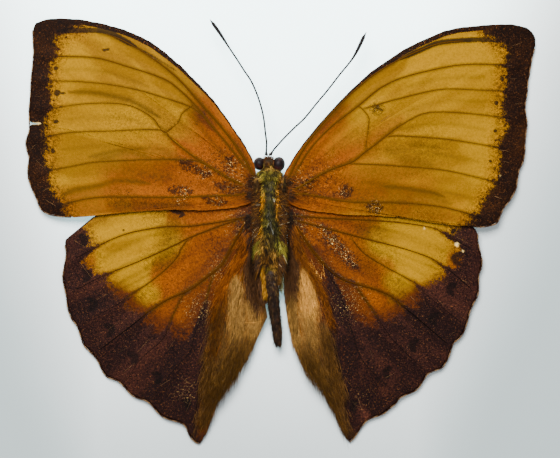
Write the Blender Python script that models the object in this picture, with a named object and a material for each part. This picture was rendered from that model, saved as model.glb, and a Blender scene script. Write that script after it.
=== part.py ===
"""A dry, spread butterfly that lies on its belly.

X runs along the wings, +Y towards the head and +Z up. The origin is the middle of the flat patch of belly
that the insect rests on. Sizes are in millimetres and are turned into metres where a mesh is made.
"""

import math

import bmesh
import bpy
import numpy as np
from mathutils import Matrix, Vector

MM = 0.001

WING_THICKNESS = 0.25
WING_ROWS = 5

# The wings fall from the root with the square of the way out to the side's reach.
FOREWING_ROOT_HEIGHT = 4.40
HINDWING_ROOT_HEIGHT = 3.80
WING_DROOP = 4.00
LEFT_REACH = 37.5
RIGHT_REACH = 40.5
TAIL_DROOP = 3.10
TAIL_REACH = 36.0
GUTTER_DEPTH = 1.50
GUTTER_CENTRE = 1.5
GUTTER_WIDTH = 3.2
GUTTER_START = -3.0
GUTTER_FULL = -10.0

THORAX_SQUARENESS = 2.3
THORAX_SIDES = 20
BELLY_LEVEL = 0.86
ABDOMEN_SIDES = 12

LEFT_EYE_CENTRE = (-1.58, 6.15, 3.25)
LEFT_EYE_RADII = (0.90, 1.00, 1.15)
RIGHT_EYE_CENTRE = (1.28, 6.05, 3.25)
RIGHT_EYE_RADII = (0.98, 1.16, 1.15)
RIGHT_EYE_TURN = -12.0
EYE_CLEARANCE = 0.20

HEAD_CENTRE = (-0.20, 6.02, 3.10)
HEAD_RADII = (1.45, 1.12, 1.25)

ANTENNA_SHAFT_RADIUS = 0.09
ANTENNA_CLUB_RADIUS = 0.22
CLUB_SHARE = 0.25

PROBOSCIS_CENTRE = (-0.22, 6.55, 1.00)
PROBOSCIS_RADIUS = 0.58
PROBOSCIS_WIRE_RADIUS = 0.10
PROBOSCIS_TURNS = 1.6

TEGULA_CENTRE = (2.02, 3.15, 4.98)
TEGULA_RADII = (0.36, 1.10, 0.15)
TEGULA_TILT = 20.0

TEAR_TIP = (-34.00, 12.25)
TEAR_MOUTH_X = -38.00
TEAR_HALF_WIDTH = 0.30

# Wing outlines run from the front of the root, round the wing, to the back of the root.
LEFT_FOREWING_ROOT = ((-2.05, 4.90), (-2.25, 0.60))
LEFT_FOREWING_COSTA = (
    (-2.55, 6.80), (-3.70, 8.95), (-5.00, 10.85), (-6.35, 12.85), (-8.00, 15.15), (-9.45, 16.85),
    (-11.30, 18.75), (-13.00, 20.50), (-15.00, 22.25), (-17.40, 24.15), (-20.00, 25.50), (-22.50, 26.45),
    (-25.00, 27.13), (-28.00, 27.75), (-31.00, 28.00), (-33.60, 27.88), (-35.20, 27.30))
LEFT_FOREWING_MARGIN = (
    (-35.75, 26.20), (-35.70, 24.50), (-35.60, 23.00), (-35.75, 21.00), (-36.00, 18.80), (-36.10, 16.50),
    (-36.30, 14.30), (-36.25, 11.40), (-36.60, 10.20), (-36.80, 9.25), (-36.60, 8.20), (-36.30, 7.00),
    (-36.50, 5.50), (-36.40, 4.00), (-35.95, 2.65), (-35.10, 0.80), (-34.75, -0.20), (-34.20, -0.95),
    (-33.10, -1.55), (-31.50, -1.85), (-29.80, -1.95))
LEFT_FOREWING_HIND = (
    (-26.30, -1.65), (-22.00, -1.15), (-18.00, -0.88), (-14.00, -0.75), (-10.00, -0.87), (-7.50, -0.67),
    (-5.00, -0.40), (-3.40, 0.05))

RIGHT_FOREWING_ROOT = ((2.10, 4.55), (2.30, 0.50))
RIGHT_FOREWING_COSTA = (
    (2.40, 5.30), (3.00, 6.20), (3.55, 7.20), (5.00, 9.25), (7.00, 11.70), (8.50, 13.40), (10.00, 15.05),
    (12.10, 17.20), (15.00, 19.85), (18.00, 21.90), (20.00, 23.25), (22.00, 24.25), (24.00, 25.15),
    (26.00, 26.00), (28.00, 26.50), (31.00, 26.85), (34.00, 27.10), (36.50, 27.10), (38.40, 26.70),
    (39.40, 25.95), (39.90, 25.00))
RIGHT_FOREWING_MARGIN = (
    (39.85, 23.40), (39.45, 22.00), (39.15, 20.20), (38.85, 18.50), (38.70, 16.70), (38.45, 15.20),
    (38.45, 14.00), (38.70, 12.50), (38.60, 11.20), (38.40, 9.50), (38.35, 7.90), (38.10, 6.50),
    (37.50, 5.20), (37.30, 4.20), (37.00, 2.40), (36.10, 0.70), (35.10, -0.60), (34.65, -1.60),
    (34.20, -2.65), (33.30, -3.15), (31.50, -3.45), (30.00, -3.20))
RIGHT_FOREWING_HIND = (
    (27.50, -3.05), (25.00, -2.75), (22.00, -2.20), (19.00, -1.85), (15.00, -1.58), (12.00, -1.58),
    (9.00, -1.25), (6.00, -0.90), (4.00, -0.35))

LEFT_HINDWING_ROOT = ((-2.35, 0.60), (-2.70, -6.00))
LEFT_HINDWING_COSTA = (
    (-5.00, 1.30), (-10.00, 1.50), (-16.00, 1.35), (-20.00, 0.90), (-24.00, -0.45), (-26.60, -1.85),
    (-28.00, -3.00), (-30.00, -4.60), (-30.70, -5.20))
LEFT_HINDWING_MARGIN = (
    (-30.92, -6.10), (-30.70, -7.30), (-31.00, -9.10), (-31.25, -10.70), (-31.00, -12.40), (-30.65, -14.00),
    (-30.55, -15.30), (-29.95, -17.05), (-29.10, -18.20), (-28.60, -19.60), (-28.00, -21.20),
    (-26.30, -23.00), (-25.60, -24.30), (-25.10, -25.30), (-24.40, -26.00), (-23.00, -26.50),
    (-22.00, -27.35), (-20.90, -28.60), (-20.00, -29.10), (-18.70, -29.50), (-17.80, -30.20),
    (-17.00, -31.20), (-15.90, -32.05), (-14.60, -32.50), (-13.40, -32.85), (-12.75, -33.40),
    (-12.30, -34.50), (-11.75, -35.30), (-11.10, -35.85), (-10.50, -35.85), (-9.95, -35.10))
LEFT_HINDWING_INNER = (
    (-9.40, -34.00), (-8.70, -32.00), (-8.00, -30.10), (-7.20, -28.40), (-6.00, -26.60), (-5.00, -25.70),
    (-4.20, -24.30), (-2.60, -21.70), (-1.90, -20.10), (-1.20, -18.50), (-0.68, -17.45), (-0.32, -16.75),
    (-0.70, -15.20), (-1.10, -13.50), (-1.40, -11.50), (-1.85, -9.20))

RIGHT_HINDWING_ROOT = ((2.35, 0.50), (2.70, -6.00))
RIGHT_HINDWING_COSTA = (
    (5.00, 0.80), (9.00, 0.70), (14.00, 0.40), (20.00, -0.20), (25.00, -1.10), (28.50, -2.20),
    (30.40, -3.10))
RIGHT_HINDWING_MARGIN = (
    (31.30, -4.30), (31.30, -5.60), (31.65, -7.00), (31.95, -8.40), (31.80, -9.50), (31.45, -10.60),
    (31.40, -13.00), (31.05, -14.10), (30.45, -15.20), (30.00, -16.40), (29.75, -17.50), (29.10, -19.30),
    (28.40, -20.20), (27.60, -20.90), (27.00, -22.70), (26.40, -23.85), (25.80, -24.60), (24.00, -25.30),
    (23.30, -26.10), (22.50, -27.40), (21.70, -28.10), (19.70, -29.00), (19.00, -29.85), (18.00, -30.70),
    (17.00, -31.50), (15.00, -32.25), (14.10, -33.05), (13.30, -34.20), (12.80, -34.95), (12.05, -35.65),
    (11.25, -35.00))
RIGHT_HINDWING_INNER = (
    (10.50, -33.30), (9.20, -30.10), (8.50, -28.70), (7.60, -27.10), (6.90, -26.25), (5.45, -24.95),
    (4.80, -23.95), (3.80, -21.80), (3.00, -19.15), (2.70, -17.80), (2.25, -14.80), (2.00, -11.50),
    (2.00, -9.20))

# Antennae as (x, y, height) from the base to the tip.
LEFT_ANTENNA = (
    (-0.58, 7.38, 4.00), (-0.53, 8.33, 4.10), (-0.50, 9.33, 4.20), (-0.67, 10.67, 4.25), (-0.92, 12.83, 4.25),
    (-1.33, 14.67, 4.20), (-2.00, 16.67, 4.10), (-2.83, 18.50, 4.00), (-3.83, 20.00, 3.90),
    (-5.00, 21.83, 3.75), (-6.05, 23.40, 3.65), (-7.25, 25.27, 3.50), (-8.10, 26.50, 3.40),
    (-8.95, 27.67, 3.30))
RIGHT_ANTENNA = (
    (0.08, 7.45, 4.00), (0.67, 8.33, 4.10), (2.00, 9.83, 4.20), (3.67, 11.50, 4.25), (5.17, 12.92, 4.25),
    (7.00, 15.17, 4.20), (8.67, 17.17, 4.10), (10.33, 19.33, 4.00), (12.00, 21.38, 3.85),
    (12.83, 22.67, 3.75), (13.50, 24.00, 3.60), (14.00, 25.08, 3.50), (14.37, 25.75, 3.45))

# Legs of the right side as (x, y, height, radius); the left side mirrors them.
FORELEG = ((0.85, 4.55, 0.95, 0.18), (1.30, 5.60, 0.85, 0.20), (0.95, 6.35, 0.60, 0.14), (0.90, 7.10, 0.35, 0.08))
MIDLEG = ((2.45, 1.20, 1.40, 0.24), (3.00, -0.20, 1.35, 0.26), (3.65, -1.60, 1.20, 0.18),
          (3.50, 0.30, 0.75, 0.15), (3.30, 2.10, 0.45, 0.12), (2.95, 4.20, 0.25, 0.09))
HINDLEG = ((2.50, -2.60, 1.40, 0.24), (3.00, -4.40, 1.30, 0.27), (3.50, -6.20, 1.10, 0.18),
           (3.45, -8.20, 0.75, 0.15), (3.20, -10.20, 0.45, 0.12), (2.80, -12.60, 0.25, 0.09))
PALP = ((0.22, 7.42, 2.10, 0.14), (0.24, 7.55, 2.70, 0.17), (0.22, 7.52, 3.30, 0.14), (0.18, 7.46, 3.62, 0.07))
PALP_MIDDLE = -0.24

# Cross-sections of the thorax: y, middle x, half width, belly height and back height.
THORAX_SECTIONS = (
    (4.60, -0.10, 1.15, 1.70, 4.30), (4.20, -0.10, 1.60, 1.05, 4.75), (3.40, -0.05, 1.88, 0.45, 5.15),
    (2.20, -0.02, 2.00, 0.00, 5.45), (0.40, 0.00, 2.00, 0.00, 5.60), (-1.60, 0.00, 2.00, 0.00, 5.60),
    (-3.60, 0.00, 2.10, 0.00, 5.45), (-5.20, 0.00, 2.25, 0.00, 5.20), (-6.60, 0.00, 2.25, 0.55, 4.85),
    (-7.90, 0.05, 1.75, 1.10, 4.40), (-8.90, 0.15, 1.45, 1.55, 4.05), (-9.50, 0.20, 1.00, 2.00, 3.65))

# Cross-sections of the abdomen: y, middle x, middle height and radius.
ABDOMEN_SECTIONS = (
    (-9.80, 0.22, 2.85, 0.85), (-10.30, 0.24, 2.82, 1.10), (-11.50, 0.26, 2.75, 1.12), (-13.00, 0.36, 2.60, 1.05),
    (-15.00, 0.58, 2.35, 0.90), (-17.00, 0.85, 2.10, 0.82), (-19.00, 1.08, 1.85, 0.70),
    (-20.30, 1.20, 1.70, 0.52), (-21.05, 1.28, 1.60, 0.22))

# Colour, roughness and metallic value of each finish.
FINISHES = {
    "wing_ochre": ((0.58, 0.30, 0.03), 0.55, 0.0),
    "wing_brown": ((0.38, 0.15, 0.03), 0.60, 0.0),
    "body_hair": ((0.18, 0.14, 0.04), 0.85, 0.0),
    "abdomen_brown": ((0.06, 0.03, 0.02), 0.70, 0.0),
    "eye_brown": ((0.03, 0.01, 0.01), 0.25, 0.0),
    "antenna_black": ((0.02, 0.01, 0.01), 0.45, 0.0),
    "leg_brown": ((0.16, 0.08, 0.03), 0.60, 0.0),
}


def clear_scene():
    for thing in list(bpy.data.objects):
        bpy.data.objects.remove(thing, do_unlink=True)


def give_finish(piece, finish):
    """A Principled material of the piece's own, with the colour, roughness and metallic value of its finish."""
    colour, roughness, metallic = FINISHES[finish]
    material = bpy.data.materials.new(piece.name)
    material.use_nodes = True
    shader = material.node_tree.nodes["Principled BSDF"]
    shader.inputs["Base Color"].default_value = (*colour, 1.0)
    shader.inputs["Roughness"].default_value = roughness
    shader.inputs["Metallic"].default_value = metallic
    piece.data.materials.clear()
    piece.data.materials.append(material)


def add_piece(name, data, finish=None):
    piece = bpy.data.objects.new(name, data)
    bpy.context.collection.objects.link(piece)
    if finish:
        give_finish(piece, finish)
    return piece


def mesh_piece(name, shape, finish):
    """A named object from a bmesh in millimetres, with its faces turned outwards."""
    bmesh.ops.recalc_face_normals(shape, faces=shape.faces)
    bmesh.ops.scale(shape, vec=(MM, MM, MM), verts=shape.verts)
    mesh = bpy.data.meshes.new(name)
    shape.to_mesh(mesh)
    shape.free()
    mesh.shade_smooth()
    return add_piece(name, mesh, finish)


def smooth_step(low, high, value):
    share = min(1.0, max(0.0, (value - low) / (high - low)))
    return share * share * (3.0 - 2.0 * share)


def sideways_droop(x):
    reach = LEFT_REACH if x < 0.0 else RIGHT_REACH
    return WING_DROOP * (x / reach) ** 2


def forewing_height(x, y):
    """The middle of the forewing sheet."""
    return FOREWING_ROOT_HEIGHT - sideways_droop(x)


def hindwing_height(x, y):
    """The middle of the hindwing sheet: it also falls towards the tail, with a gutter beside the body."""
    backwards = TAIL_DROOP * (min(y, 0.0) / TAIL_REACH) ** 2
    beside_body = math.exp(-((abs(x) - GUTTER_CENTRE) / GUTTER_WIDTH) ** 2)
    gutter = GUTTER_DEPTH * beside_body * smooth_step(-GUTTER_START, -GUTTER_FULL, -y)
    return HINDWING_ROOT_HEIGHT - sideways_droop(x) - backwards - gutter


def make_wing(name, root, outline, height, finish):
    """A sheet that fans out from the root line to the outline, lifted to its height and given its thickness."""
    shape = bmesh.new()
    front, back = Vector(root[0]), Vector(root[1])
    shares = np.linspace(0.0, 1.0, len(outline))
    inner = [shape.verts.new((*front.lerp(back, share), 0.0)) for share in shares]
    outer = [shape.verts.new((x, y, 0.0)) for x, y in outline]
    rays = [shape.edges.new(pair) for pair in zip(inner, outer)]
    for near, following in zip(range(len(outline)), range(1, len(outline))):
        shape.faces.new((inner[near], outer[near], outer[following], inner[following]))
    bmesh.ops.subdivide_edges(shape, edges=rays, cuts=WING_ROWS - 1, use_grid_fill=True)
    for corner in shape.verts:
        corner.co.z = height(corner.co.x, corner.co.y)
    if sum((face.normal.z for face in shape.faces), 0.0) < 0.0:
        bmesh.ops.reverse_faces(shape, faces=shape.faces)
    wing = mesh_piece(name, shape, finish)
    sheet = wing.modifiers.new("thickness", "SOLIDIFY")
    sheet.thickness = WING_THICKNESS * MM
    sheet.offset = 0.0
    return wing


def cut_tear(wing):
    """A thin wedge taken out of the outer margin, where the wing is torn between two veins."""
    shape = bmesh.new()
    tip_x, tip_y = TEAR_TIP
    corners = ((tip_x, tip_y), (TEAR_MOUTH_X, tip_y + TEAR_HALF_WIDTH), (TEAR_MOUTH_X, tip_y - TEAR_HALF_WIDTH))
    face = shape.faces.new([shape.verts.new((x, y, -1.0)) for x, y in corners])
    risen = bmesh.ops.extrude_face_region(shape, geom=[face])
    lifted = [item for item in risen["geom"] if isinstance(item, bmesh.types.BMVert)]
    bmesh.ops.translate(shape, verts=lifted, vec=(0.0, 0.0, 4.0))
    bmesh.ops.recalc_face_normals(shape, faces=shape.faces)
    bmesh.ops.scale(shape, vec=(MM, MM, MM), verts=shape.verts)
    mesh = bpy.data.meshes.new("tear_cutter")
    shape.to_mesh(mesh)
    shape.free()
    cutter = add_piece("tear_cutter", mesh)
    cutter.hide_render = True
    cutter.display_type = "WIRE"
    cut = wing.modifiers.new("tear", "BOOLEAN")
    cut.operation = "DIFFERENCE"
    cut.object = cutter


def loft(name, rings, finish):
    """A closed body: rings of points bridged one to the next, with a face across each end."""
    shape = bmesh.new()
    loops = []
    for ring in rings:
        corners = [shape.verts.new(point) for point in ring]
        loops.append([shape.edges.new((corners[i - 1], corners[i])) for i in range(len(corners))])
    for near, following in zip(loops, loops[1:]):
        bmesh.ops.bridge_loops(shape, edges=near + following)
    for end in (loops[0], loops[-1]):
        bmesh.ops.contextual_create(shape, geom=end)
    return mesh_piece(name, shape, finish)


def thorax_ring(y, middle, half_width, belly, back):
    """A squarish oval from the belly's height to the back's, cut level along its lowest part."""
    ring = []
    for step in range(THORAX_SIDES):
        angle = 2.0 * math.pi * (step + 0.5) / THORAX_SIDES
        across = math.copysign(abs(math.cos(angle)) ** (2.0 / THORAX_SQUARENESS), math.cos(angle))
        rise = math.copysign(abs(math.sin(angle)) ** (2.0 / THORAX_SQUARENESS), math.sin(angle))
        share = (max(rise, -BELLY_LEVEL) + BELLY_LEVEL) / (1.0 + BELLY_LEVEL)
        ring.append((middle + half_width * across, y, belly + (back - belly) * share))
    return ring


def make_thorax():
    return loft("thorax", [thorax_ring(*section) for section in THORAX_SECTIONS], "body_hair")


def make_abdomen():
    rings = []
    for y, middle, height, radius in ABDOMEN_SECTIONS:
        angles = [2.0 * math.pi * step / ABDOMEN_SIDES for step in range(ABDOMEN_SIDES)]
        rings.append([(middle + radius * math.cos(a), y, height + radius * math.sin(a)) for a in angles])
    return loft("abdomen", rings, "abdomen_brown")


def oval(centre, radii, turn=0.0, tilt=0.0, segments=16, rings=10, grow=0.0):
    """A sphere stretched to its three radii, turned about Z, tilted about Y and set in its place."""
    shape = bmesh.new()
    bmesh.ops.create_uvsphere(shape, u_segments=segments, v_segments=rings, radius=1.0)
    stretch = Matrix.Diagonal((radii[0] + grow, radii[1] + grow, radii[2] + grow, 1.0))
    turned = Matrix.Rotation(math.radians(turn), 4, "Z") @ Matrix.Rotation(math.radians(tilt), 4, "Y")
    bmesh.ops.transform(shape, matrix=Matrix.Translation(centre) @ turned @ stretch, verts=shape.verts)
    return shape


def make_eye(name, centre, radii, turn):
    return mesh_piece(name, oval(centre, radii, turn), "eye_brown")


def make_head():
    """The head between the eyes: an oval with a socket cut for each eye, a little wider than the eye."""
    head = mesh_piece("head", oval(HEAD_CENTRE, HEAD_RADII, segments=20, rings=12), "body_hair")
    for side, centre, radii, turn in (("left", LEFT_EYE_CENTRE, LEFT_EYE_RADII, 0.0),
                                      ("right", RIGHT_EYE_CENTRE, RIGHT_EYE_RADII, RIGHT_EYE_TURN)):
        name = side + "_socket_cutter"
        cutter = mesh_piece(name, oval(centre, radii, turn, grow=EYE_CLEARANCE), "eye_brown")
        cutter.hide_render = True
        cutter.display_type = "WIRE"
        cut = head.modifiers.new(side + "_socket", "BOOLEAN")
        cut.operation = "DIFFERENCE"
        cut.object = cutter
    return head


def tube(name, points, radii, finish, bevel_resolution=1):
    """A curve with a round section whose radius changes from point to point, closed at both ends."""
    curve = bpy.data.curves.new(name, "CURVE")
    curve.dimensions = "3D"
    curve.bevel_depth = MM
    curve.bevel_resolution = bevel_resolution
    curve.use_fill_caps = True
    line = curve.splines.new("POLY")
    line.points.add(len(points) - 1)
    for target, point, radius in zip(line.points, points, radii):
        target.co = (point[0] * MM, point[1] * MM, point[2] * MM, 1.0)
        target.radius = radius
    return add_piece(name, curve, finish)


def make_antenna(name, route):
    """A thin shaft whose last quarter swells slowly into the club and then narrows to a blunt tip."""
    steps = np.array(route)
    lengths = np.concatenate(([0.0], np.cumsum(np.linalg.norm(np.diff(steps, axis=0), axis=1))))
    shares = lengths / lengths[-1]
    radii = []
    for share in shares:
        swell = smooth_step(1.0 - CLUB_SHARE, 0.93, share)
        blunt = 1.0 - 0.55 * smooth_step(0.94, 1.0, share)
        radii.append((ANTENNA_SHAFT_RADIUS + (ANTENNA_CLUB_RADIUS - ANTENNA_SHAFT_RADIUS) * swell) * blunt)
    return tube(name, route, radii, "antenna_black")


def make_proboscis():
    """A flat watch-spring coil under the head, wound in the plane of Y and Z."""
    x, y, z = PROBOSCIS_CENTRE
    steps = 26
    points = []
    for step in range(steps):
        share = step / (steps - 1)
        angle = math.pi / 2.0 + 2.0 * math.pi * PROBOSCIS_TURNS * share
        reach = PROBOSCIS_RADIUS * (1.0 - 0.72 * share)
        points.append((x, y + reach * math.cos(angle), z + reach * math.sin(angle)))
    return tube("proboscis", points, [PROBOSCIS_WIRE_RADIUS] * steps, "leg_brown")


def make_limb(name, route, side, finish, middle=0.0):
    points = [(middle + side * x, y, z) for x, y, z, _ in route]
    return tube(name, points, [radius for *_, radius in route], finish)


def make_tegula(name, side):
    x, y, z = TEGULA_CENTRE
    return mesh_piece(name, oval((side * x, y, z), TEGULA_RADII, tilt=side * TEGULA_TILT, segments=12, rings=8),
                      "body_hair")


def build():
    clear_scene()
    left_forewing = make_wing("left_forewing", LEFT_FOREWING_ROOT,
                              LEFT_FOREWING_COSTA + LEFT_FOREWING_MARGIN + LEFT_FOREWING_HIND,
                              forewing_height, "wing_ochre")
    cut_tear(left_forewing)
    make_wing("right_forewing", RIGHT_FOREWING_ROOT,
              RIGHT_FOREWING_COSTA + RIGHT_FOREWING_MARGIN + RIGHT_FOREWING_HIND,
              forewing_height, "wing_ochre")
    make_wing("left_hindwing", LEFT_HINDWING_ROOT,
              LEFT_HINDWING_COSTA + LEFT_HINDWING_MARGIN + LEFT_HINDWING_INNER,
              hindwing_height, "wing_brown")
    make_wing("right_hindwing", RIGHT_HINDWING_ROOT,
              RIGHT_HINDWING_COSTA + RIGHT_HINDWING_MARGIN + RIGHT_HINDWING_INNER,
              hindwing_height, "wing_brown")
    make_thorax()
    make_abdomen()
    make_head()
    make_eye("left_eye", LEFT_EYE_CENTRE, LEFT_EYE_RADII, 0.0)
    make_eye("right_eye", RIGHT_EYE_CENTRE, RIGHT_EYE_RADII, RIGHT_EYE_TURN)
    make_antenna("left_antenna", LEFT_ANTENNA)
    make_antenna("right_antenna", RIGHT_ANTENNA)
    make_proboscis()
    for word, side in (("left", -1.0), ("right", 1.0)):
        make_tegula(word + "_tegula", side)
        make_limb(word + "_palp", PALP, side, "body_hair", PALP_MIDDLE)
        make_limb(word + "_foreleg", FORELEG, side, "leg_brown")
        make_limb(word + "_midleg", MIDLEG, side, "leg_brown")
        make_limb(word + "_hindleg", HINDLEG, side, "leg_brown")


build()
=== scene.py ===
"""Looks of a dry, spread butterfly that lies on its belly.

Lengths are in millimetres, as in the part's own source, and become metres where a mesh is made. The marks on
the wings and the body are strokes along short paths, placed in millimetres from the middle of the belly.
"""
import math

import bpy
import numpy as np
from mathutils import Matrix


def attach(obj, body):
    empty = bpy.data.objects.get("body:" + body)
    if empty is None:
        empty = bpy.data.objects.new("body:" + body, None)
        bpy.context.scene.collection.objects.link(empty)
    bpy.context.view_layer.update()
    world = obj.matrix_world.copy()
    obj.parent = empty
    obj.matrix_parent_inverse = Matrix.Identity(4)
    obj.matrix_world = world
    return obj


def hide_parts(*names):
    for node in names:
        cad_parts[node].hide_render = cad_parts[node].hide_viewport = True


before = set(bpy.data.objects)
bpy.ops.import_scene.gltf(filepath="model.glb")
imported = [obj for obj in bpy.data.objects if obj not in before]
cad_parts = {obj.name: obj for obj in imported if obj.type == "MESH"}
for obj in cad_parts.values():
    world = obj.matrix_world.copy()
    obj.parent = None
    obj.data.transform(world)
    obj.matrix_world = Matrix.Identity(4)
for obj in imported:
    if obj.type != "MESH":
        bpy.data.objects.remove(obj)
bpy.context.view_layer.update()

MM = 0.001
chance = np.random.default_rng(11)


# Sizes shared with the part

# The wings fall from the root with the square of the way out to the side's reach.
FOREWING_ROOT_HEIGHT = 4.40
HINDWING_ROOT_HEIGHT = 3.80
WING_DROOP = 4.00
LEFT_REACH = 37.5
RIGHT_REACH = 40.5
TAIL_DROOP = 3.10
TAIL_REACH = 36.0
GUTTER_DEPTH = 1.50
GUTTER_CENTRE = 1.5
GUTTER_WIDTH = 3.2
GUTTER_START = -3.0
GUTTER_FULL = -10.0

LEFT_EYE_CENTRE = (-1.58, 6.15, 3.25)
LEFT_EYE_RADII = (0.90, 1.00, 1.15)
RIGHT_EYE_CENTRE = (1.28, 6.05, 3.25)
RIGHT_EYE_RADII = (0.98, 1.16, 1.15)
RIGHT_EYE_TURN = -12.0

HEAD_CENTRE = (-0.20, 6.02, 3.10)
HEAD_RADII = (1.45, 1.12, 1.25)

PROBOSCIS_CENTRE = (-0.22, 6.55, 1.00)
PROBOSCIS_RADIUS = 0.58
PROBOSCIS_WIRE_RADIUS = 0.10
PROBOSCIS_TURNS = 1.6

TEGULA_CENTRE = (2.02, 3.15, 4.98)
TEGULA_RADII = (0.36, 1.10, 0.15)
TEGULA_TILT = 20.0

TEAR_TIP = (-34.00, 12.25)
TEAR_HALF_WIDTH = 0.17

# Wing outlines run from the front of the root, round the wing, to the back of the root.
LEFT_FOREWING_ROOT = ((-2.05, 4.90), (-2.25, 0.60))
LEFT_FOREWING_COSTA = (
    (-2.55, 6.80), (-3.70, 8.95), (-5.00, 10.85), (-6.35, 12.85), (-8.00, 15.15), (-9.45, 16.85),
    (-11.30, 18.75), (-13.00, 20.50), (-15.00, 22.25), (-17.40, 24.15), (-20.00, 25.50), (-22.50, 26.45),
    (-25.00, 27.13), (-28.00, 27.75), (-31.00, 28.00), (-33.60, 27.88), (-35.20, 27.30))
LEFT_FOREWING_MARGIN = (
    (-35.75, 26.20), (-35.70, 24.50), (-35.60, 23.00), (-35.75, 21.00), (-36.00, 18.80), (-36.10, 16.50),
    (-36.30, 14.30), (-36.25, 11.40), (-36.60, 10.20), (-36.80, 9.25), (-36.60, 8.20), (-36.30, 7.00),
    (-36.50, 5.50), (-36.40, 4.00), (-35.95, 2.65), (-35.10, 0.80), (-34.75, -0.20), (-34.20, -0.95),
    (-33.10, -1.55), (-31.50, -1.85), (-29.80, -1.95))
LEFT_FOREWING_HIND = (
    (-26.30, -1.65), (-22.00, -1.15), (-18.00, -0.88), (-14.00, -0.75), (-10.00, -0.87), (-7.50, -0.67),
    (-5.00, -0.40), (-3.40, 0.05))

RIGHT_FOREWING_ROOT = ((2.10, 4.55), (2.30, 0.50))
RIGHT_FOREWING_COSTA = (
    (2.40, 5.30), (3.00, 6.20), (3.55, 7.20), (5.00, 9.25), (7.00, 11.70), (8.50, 13.40), (10.00, 15.05),
    (12.10, 17.20), (15.00, 19.85), (18.00, 21.90), (20.00, 23.25), (22.00, 24.25), (24.00, 25.15),
    (26.00, 26.00), (28.00, 26.50), (31.00, 26.85), (34.00, 27.10), (36.50, 27.10), (38.40, 26.70),
    (39.40, 25.95), (39.90, 25.00))
RIGHT_FOREWING_MARGIN = (
    (39.85, 23.40), (39.45, 22.00), (39.15, 20.20), (38.85, 18.50), (38.70, 16.70), (38.45, 15.20),
    (38.45, 14.00), (38.70, 12.50), (38.60, 11.20), (38.40, 9.50), (38.35, 7.90), (38.10, 6.50),
    (37.50, 5.20), (37.30, 4.20), (37.00, 2.40), (36.10, 0.70), (35.10, -0.60), (34.65, -1.60),
    (34.20, -2.65), (33.30, -3.15), (31.50, -3.45), (30.00, -3.20))
RIGHT_FOREWING_HIND = (
    (27.50, -3.05), (25.00, -2.75), (22.00, -2.20), (19.00, -1.85), (15.00, -1.58), (12.00, -1.58),
    (9.00, -1.25), (6.00, -0.90), (4.00, -0.35))

LEFT_HINDWING_ROOT = ((-2.35, 0.60), (-2.70, -6.00))
LEFT_HINDWING_COSTA = (
    (-5.00, 1.30), (-10.00, 1.50), (-16.00, 1.35), (-20.00, 0.90), (-24.00, -0.45), (-26.60, -1.85),
    (-28.00, -3.00), (-30.00, -4.60), (-30.70, -5.20))
LEFT_HINDWING_MARGIN = (
    (-30.92, -6.10), (-30.70, -7.30), (-31.00, -9.10), (-31.25, -10.70), (-31.00, -12.40), (-30.65, -14.00),
    (-30.55, -15.30), (-29.95, -17.05), (-29.10, -18.20), (-28.60, -19.60), (-28.00, -21.20),
    (-26.30, -23.00), (-25.60, -24.30), (-25.10, -25.30), (-24.40, -26.00), (-23.00, -26.50),
    (-22.00, -27.35), (-20.90, -28.60), (-20.00, -29.10), (-18.70, -29.50), (-17.80, -30.20),
    (-17.00, -31.20), (-15.90, -32.05), (-14.60, -32.50), (-13.40, -32.85), (-12.75, -33.40),
    (-12.30, -34.50), (-11.75, -35.30), (-11.10, -35.85), (-10.50, -35.85), (-9.95, -35.10))
LEFT_HINDWING_INNER = (
    (-9.40, -34.00), (-8.70, -32.00), (-8.00, -30.10), (-7.20, -28.40), (-6.00, -26.60), (-5.00, -25.70),
    (-4.20, -24.30), (-2.60, -21.70), (-1.90, -20.10), (-1.20, -18.50), (-0.68, -17.45), (-0.32, -16.75),
    (-0.70, -15.20), (-1.10, -13.50), (-1.40, -11.50), (-1.85, -9.20))

RIGHT_HINDWING_ROOT = ((2.35, 0.50), (2.70, -6.00))
RIGHT_HINDWING_COSTA = (
    (5.00, 0.80), (9.00, 0.70), (14.00, 0.40), (20.00, -0.20), (25.00, -1.10), (28.50, -2.20),
    (30.40, -3.10))
RIGHT_HINDWING_MARGIN = (
    (31.30, -4.30), (31.30, -5.60), (31.65, -7.00), (31.95, -8.40), (31.80, -9.50), (31.45, -10.60),
    (31.40, -13.00), (31.05, -14.10), (30.45, -15.20), (30.00, -16.40), (29.75, -17.50), (29.10, -19.30),
    (28.40, -20.20), (27.60, -20.90), (27.00, -22.70), (26.40, -23.85), (25.80, -24.60), (24.00, -25.30),
    (23.30, -26.10), (22.50, -27.40), (21.70, -28.10), (19.70, -29.00), (19.00, -29.85), (18.00, -30.70),
    (17.00, -31.50), (15.00, -32.25), (14.10, -33.05), (13.30, -34.20), (12.80, -34.95), (12.05, -35.65),
    (11.25, -35.00))
RIGHT_HINDWING_INNER = (
    (10.50, -33.30), (9.20, -30.10), (8.50, -28.70), (7.60, -27.10), (6.90, -26.25), (5.45, -24.95),
    (4.80, -23.95), (3.80, -21.80), (3.00, -19.15), (2.70, -17.80), (2.25, -14.80), (2.00, -11.50),
    (2.00, -9.20))

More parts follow.
